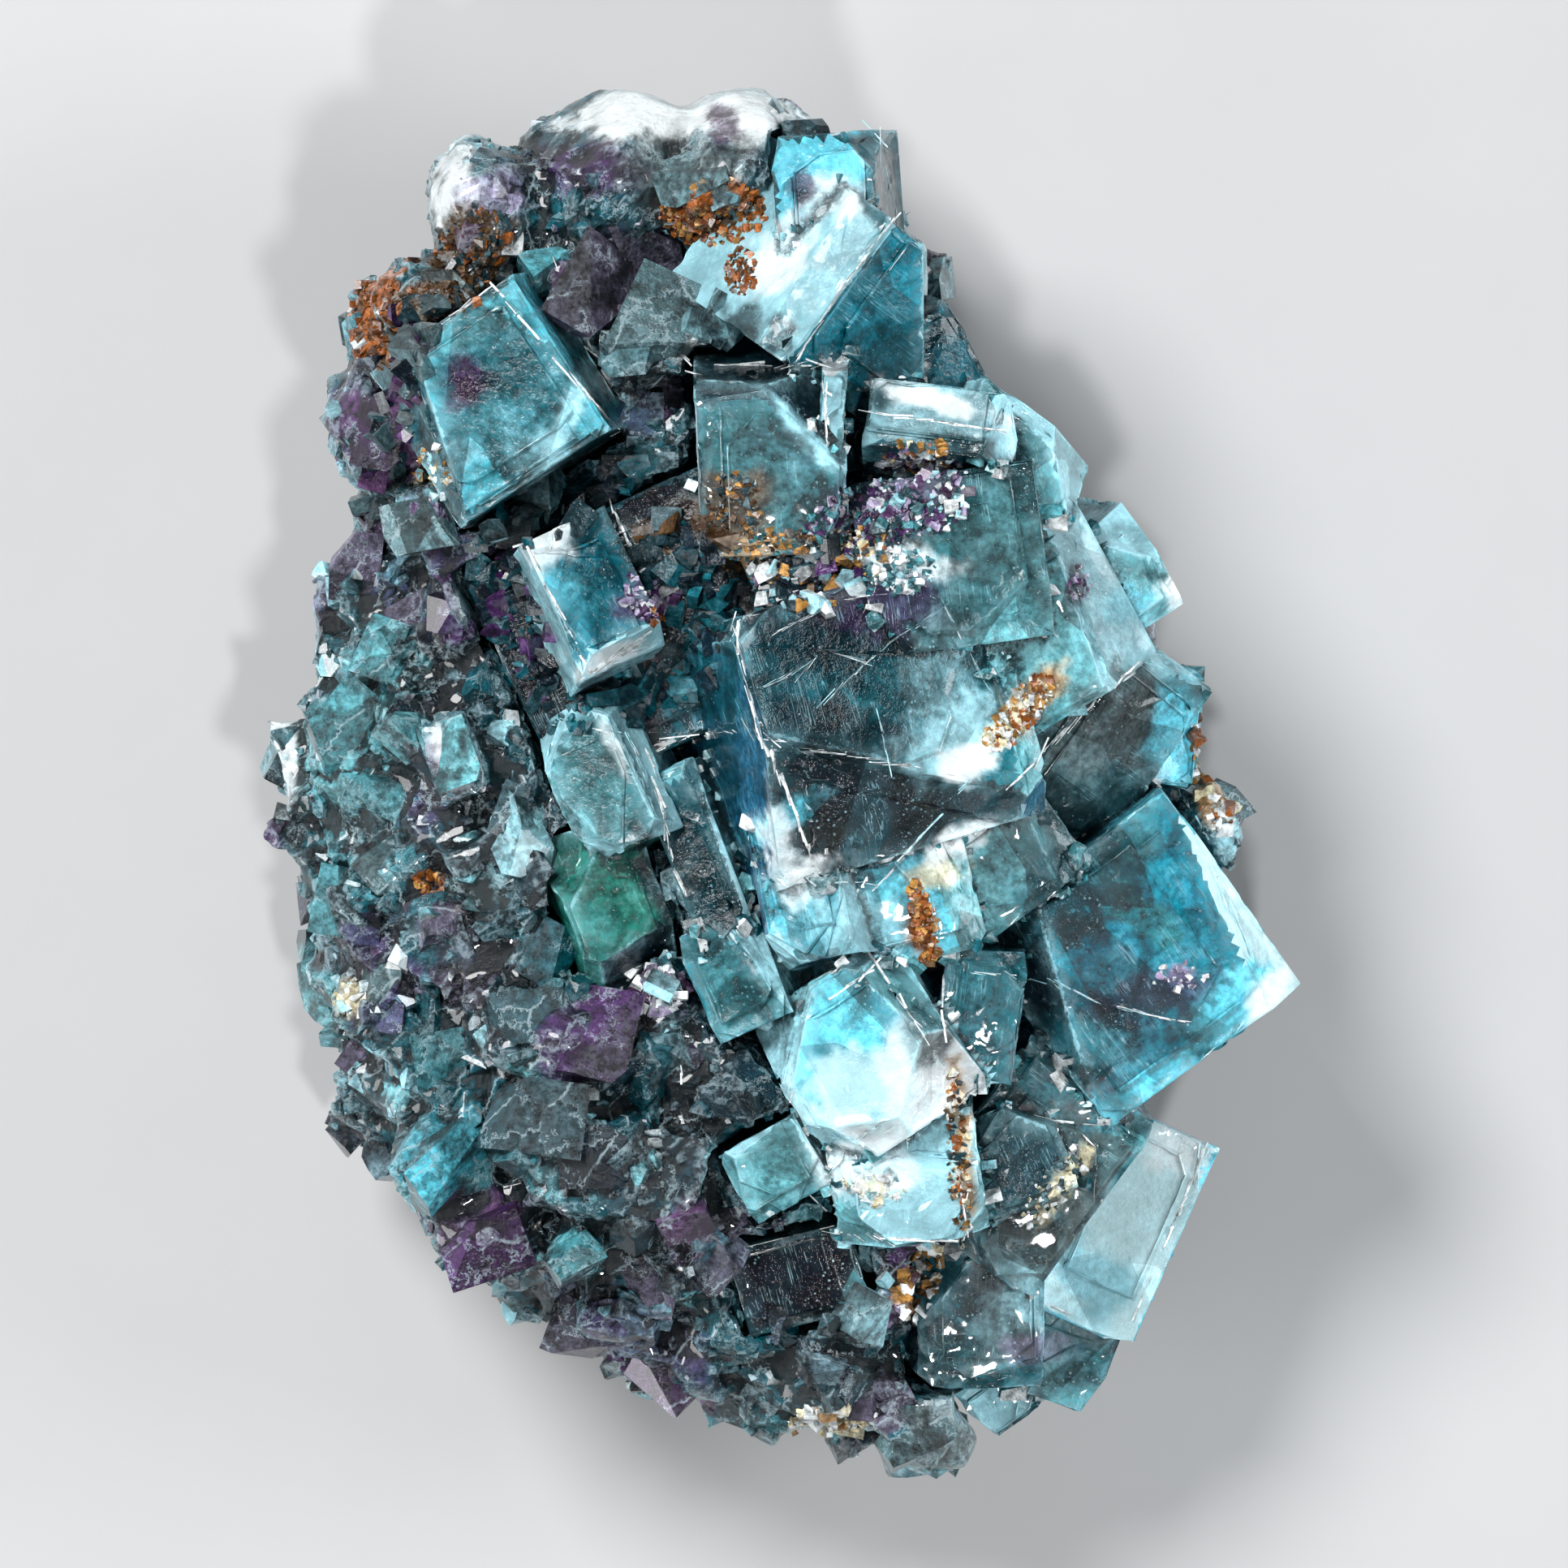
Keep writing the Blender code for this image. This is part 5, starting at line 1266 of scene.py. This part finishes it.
def grain_chips(mesh, crystals, tree):
    """Glassy grains all over the lump, clear of the crystals and of the flat underside."""
    chips = Chips(21, 5)
    dice = chips.dice
    spots, normals = spread(mesh, 10400, 4)
    keep = (spots[:, 2] > 1.4 * MM) & (depth_within(spots, crystals) < -0.25 * MM)
    keep &= spot_reach(spots) > 1
    sorts = [sort[1:] for sort in GRAIN_SORTS for _ in range(sort[0])]
    spots, normals = spots[keep][:len(sorts)], normals[keep][:len(sorts)]
    jitter = noise_at(spots, 2.6 * MM, 11.0) + 0.6 * noise_at(spots, 1.0 * MM, 5.0)
    colours = grain_colours(spots, normals, jitter)
    rim_glows = painted_rim_glow(spots, normals, jitter)
    for spot, normal, colour, rim, (small, large, bias, seat) in zip(spots, normals, colours, rim_glows, sorts):
        size = small * (large / small) ** (dice.random() ** bias) * MM
        sizes = np.array((size, size * dice.uniform(0.75, 1.0), size * dice.uniform(0.65, 0.95)))
        if dice.random() < 0.3:
            colour = colour * 0.4 + 0.6 * np.array(COLOURS[dice.choice(GRAIN_TINTS)])
        # painted glow: grains on the steep sides tinted pale, and frosted more
        colour = colour + (np.array(COLOURS["frost"]) - colour) * 0.7 * rim
        frost = 0.0 if size > 1.4 * MM else min(1.0, dice.choice((0.0, 0.05, 0.1, 0.25, 0.6)) + 0.6 * rim)
        deeper = 0.14 if normal[2] < 0.35 else 0.0
        chips.put(spot - normal * size * (seat + deeper), chips.any_turn(), sizes, colour, frost, normal)
    for x, y, length, bearing, tint in LUMP_CRYSTALS:
        spot, normal = surface_at(tree, x, y)
        if spot is None:
            continue
        up = (normal + Vector((0, 0, 1))).normalized()
        turn = math.radians(bearing)
        sizes = np.array((length, length * 0.72, length * 0.55)) * MM
        axes = level_axes(up, Vector((math.cos(turn), math.sin(turn), 0)))
        chips.put(spot - up * 0.16 * length * MM, axes, sizes, COLOURS[tint], 0.0, up)
    return chips.mesh("rock_grains")


def surface_tree(pieces):
    """A search tree over the surfaces of several pieces."""
    points, faces, count = [], [], 0
    for piece in pieces:
        points += [vert.co[:] for vert in piece.data.vertices]
        faces += [[index + count for index in face.vertices] for face in piece.data.polygons]
        count = len(points)
    return BVHTree.FromPolygons(points, faces)


def surface_at(tree, x, y):
    """The visible surface at a place in the layout, seen from above."""
    start = Vector((x * MM + SHIFT.x, y * MM + SHIFT.y, 0.1))
    spot, normal, _, _ = tree.ray_cast(start, Vector((0, 0, -1)))
    return spot, normal


def add_clusters(chips, tree):
    """Crumbs of rust, ochre and sparkling small crystals."""
    dice = chips.dice
    for x, y, along, across, bearing, number, small, large, colours in CLUSTERS:
        turn = math.radians(bearing)
        for _ in range(number):
            reach, angle = math.sqrt(dice.random()) * 1.15, dice.uniform(0, math.tau)
            run, side = reach * math.cos(angle) * along, reach * math.sin(angle) * across
            spot, normal = surface_at(
                tree, x + run * math.cos(turn) - side * math.sin(turn), y + run * math.sin(turn) + side * math.cos(turn)
            )
            if spot is None or spot.z < 2 * MM:
                continue
            size = small * (large / small) ** (dice.random() ** 1.6) * MM
            sizes = np.array((size, size * dice.uniform(0.6, 1.0), size * dice.uniform(0.5, 0.9)))
            tint = dice.choice(colours)
            frost = 0.9 if tint in ("white", "frost", "lavender", "cream") else 0.12
            chips.put(spot - normal * size * 0.12, chips.any_turn(), sizes, COLOURS[tint], frost)


def add_slivers(chips, tree):
    """Thin bright splinters along broken edges."""
    dice = chips.dice
    for tint, width, route in SLIVERS:
        for start, end in zip(route, route[1:]):
            start, end = Vector(start), Vector(end)
            run = end - start
            for step in range(int(run.length / 0.45)):
                place = start + run * ((step + dice.random()) * 0.45 / run.length)
                spot, normal = surface_at(tree, place.x + dice.gauss(0, 0.04), place.y + dice.gauss(0, 0.04))
                if spot is None or noise.noise(spot / (1.6 * MM)) < -0.15:
                    continue
                way = Matrix.Rotation(dice.gauss(0, 0.05), 2) @ run
                axes = level_axes(normal, Vector((way.x, way.y, 0)))
                thick = width * dice.uniform(0.2, 0.6) * MM
                sizes = np.array((dice.uniform(0.6, 2.4) * MM, thick, thick * 0.8))
                chips.put(spot - normal * thick * 0.2, axes, sizes, COLOURS[tint], 1.0)


def add_seam_chips(chips, piece, number):
    """Small broken crystals where the large ones meet."""
    mesh = piece.data
    seam = np.empty(len(mesh.vertices))
    mesh.attributes["seam"].data.foreach_get("value", seam)
    points, normals = points_of(mesh), normals_of(mesh)
    near = np.flatnonzero((seam < 0.35) & (normals[:, 2] > 0.15))
    dice = chips.dice
    for index in dice.sample(list(near), min(number, len(near))):
        size = 0.35 * (1.7 / 0.35) ** (dice.random() ** 2.2) * MM
        sizes = np.array((size, size * dice.uniform(0.5, 0.9), size * dice.uniform(0.4, 0.8)))
        tint = dice.choice(("mist", "frost", "white", "teal", "deep", "haze", "slate", "aqua"))
        chips.put(points[index] - normals[index] * size * 0.15, chips.any_turn(), sizes, COLOURS[tint], dice.choice((0.2, 0.6, 1.0)))


# Stage, lights and camera

def floor():
    bpy.ops.mesh.primitive_plane_add(size=3.0, location=(0, 0, -0.00002))
    plane = bpy.context.object
    plane.name = "floor"
    material, tree, shader = new_material("floor_paper")
    place = tree.nodes.new("ShaderNodeTexCoord").outputs["Object"]
    grain = noise_node(tree, place, 90, 4)
    tree.links.new(blend(tree, grain, (0.50, 0.505, 0.51, 1), (0.53, 0.535, 0.54, 1)), shader.inputs["Base Color"])
    shader.inputs["Roughness"].default_value = 0.85
    plane.data.materials.append(material)


def area_light(name, place, size, power, colour=(1, 1, 1), aim=(0, 0, 0.015)):
    data = bpy.data.lights.new(name, "AREA")
    data.shape = "DISK"
    data.size = size
    data.energy = power
    data.color = colour
    lamp = bpy.data.objects.new(name, data)
    bpy.context.scene.collection.objects.link(lamp)
    lamp.location = place
    lamp.rotation_euler = (Vector(aim) - Vector(place)).to_track_quat("-Z", "Y").to_euler()


def lights():
    area_light("key", (-0.30, 0.34, 0.55), 0.26, 5.2)
    area_light("right", (0.50, 0.02, 0.22), 0.26, 2.0, (0.95, 0.98, 1.0))
    area_light("low_left", (-0.46, -0.20, 0.16), 0.20, 1.2)
    area_light("sparkle", (0.10, -0.25, 0.60), 0.05, 1.5)
    world = bpy.data.worlds.new("studio")
    world.use_nodes = True
    world.node_tree.nodes["Background"].inputs[0].default_value = (0.92, 0.96, 1.0, 1)
    world.node_tree.nodes["Background"].inputs[1].default_value = 0.09
    bpy.context.scene.world = world


def camera():
    data = bpy.data.cameras.new("camera")
    data.sensor_width = 36.0
    distance = 1.0
    width = 1932 * 0.0462 * MM
    data.lens = 36.0 * distance / width
    data.clip_start = 0.05
    eye = bpy.data.objects.new("camera", data)
    bpy.context.scene.collection.objects.link(eye)
    eye.location = (SHIFT.x, SHIFT.y, 0.015 + distance)
    bpy.context.scene.camera = eye


def main():
    camera()
    lights()
    floor()
    teal = fluorite("teal_crystal_look", 0.32, 0.6, 0.45, (0.12, 0.66, 0.80), 110.0)
    clear_blue = fluorite("blue_crystal_look", 0.42, 0.5, 0.3, (0.15, 0.70, 0.88), 90.0)
    green = fluorite("green_crystal_look", 0.3, 0.5, 0.3, (0.12, 0.72, 0.62), 130.0)
    pale = fluorite("pale_crystal_look", 0.4, 0.3, 0.2, (0.45, 0.86, 0.95), 60.0)
    jobs = (
        ("teal_crystals", MAIN_CRYSTALS, "main_crystals", "teal_crystal", CRYSTAL_PATCHES, teal, 3, 0.40),
        ("upper_blue_cube", UPPER_CUBE, "upper_cube", "blue_crystal", CUBE_PATCHES, clear_blue, 4, 0.25),
        ("small_blue_cube", SMALL_CUBE, "small_cube", "blue_crystal", CUBE_PATCHES, clear_blue, 3, 0.35),
        ("green_pair", GREEN_CRYSTALS, "green_crystals", "green_crystal", GREEN_PATCHES, green, 2, 0.40),
        ("pale_blade", BLADE, "blade_crystal", "pale_crystal", BLADE_PATCHES, pale, 2, 0.15),
    )
    crystals, pieces = [], []
    for name, rows, node, slot, patches, material, steps, clear in jobs:
        group = [Crystal(row) for row in rows]
        mesh = grown_together(name, group, steps)
        finish_crystal(mesh, group, patches, clear)
        pieces.append(show(name, mesh, material, node))
        crystals += group
    mesh = rock_mesh()
    rock(mesh)
    chip_material = chip_look("chip_look")
    lump_material = granular("granular_fluorite_look")
    pieces.append(show("granular_rock", mesh, lump_material, "granular_base"))
    grains = grain_chips(mesh, crystals, surface_tree(pieces[-1:]))
    show("rock_grains", grains, lump_material)
    crumbs = Chips(8, 3)
    tree = surface_tree(pieces)
    add_clusters(crumbs, tree)
    add_slivers(crumbs, tree)
    add_seam_chips(crumbs, pieces[0], 420)
    show("surface_crumbs", crumbs.mesh("surface_crumbs"), chip_material)
    bpy.context.scene.view_settings.view_transform = "Standard"
    bpy.context.scene.view_settings.look = "None"
    bpy.context.scene.view_settings.exposure = 0.0
    cycles = bpy.context.scene.cycles
    cycles.max_bounces = 6
    cycles.transmission_bounces = 5
    cycles.glossy_bounces = 2
    cycles.diffuse_bounces = 1


main()
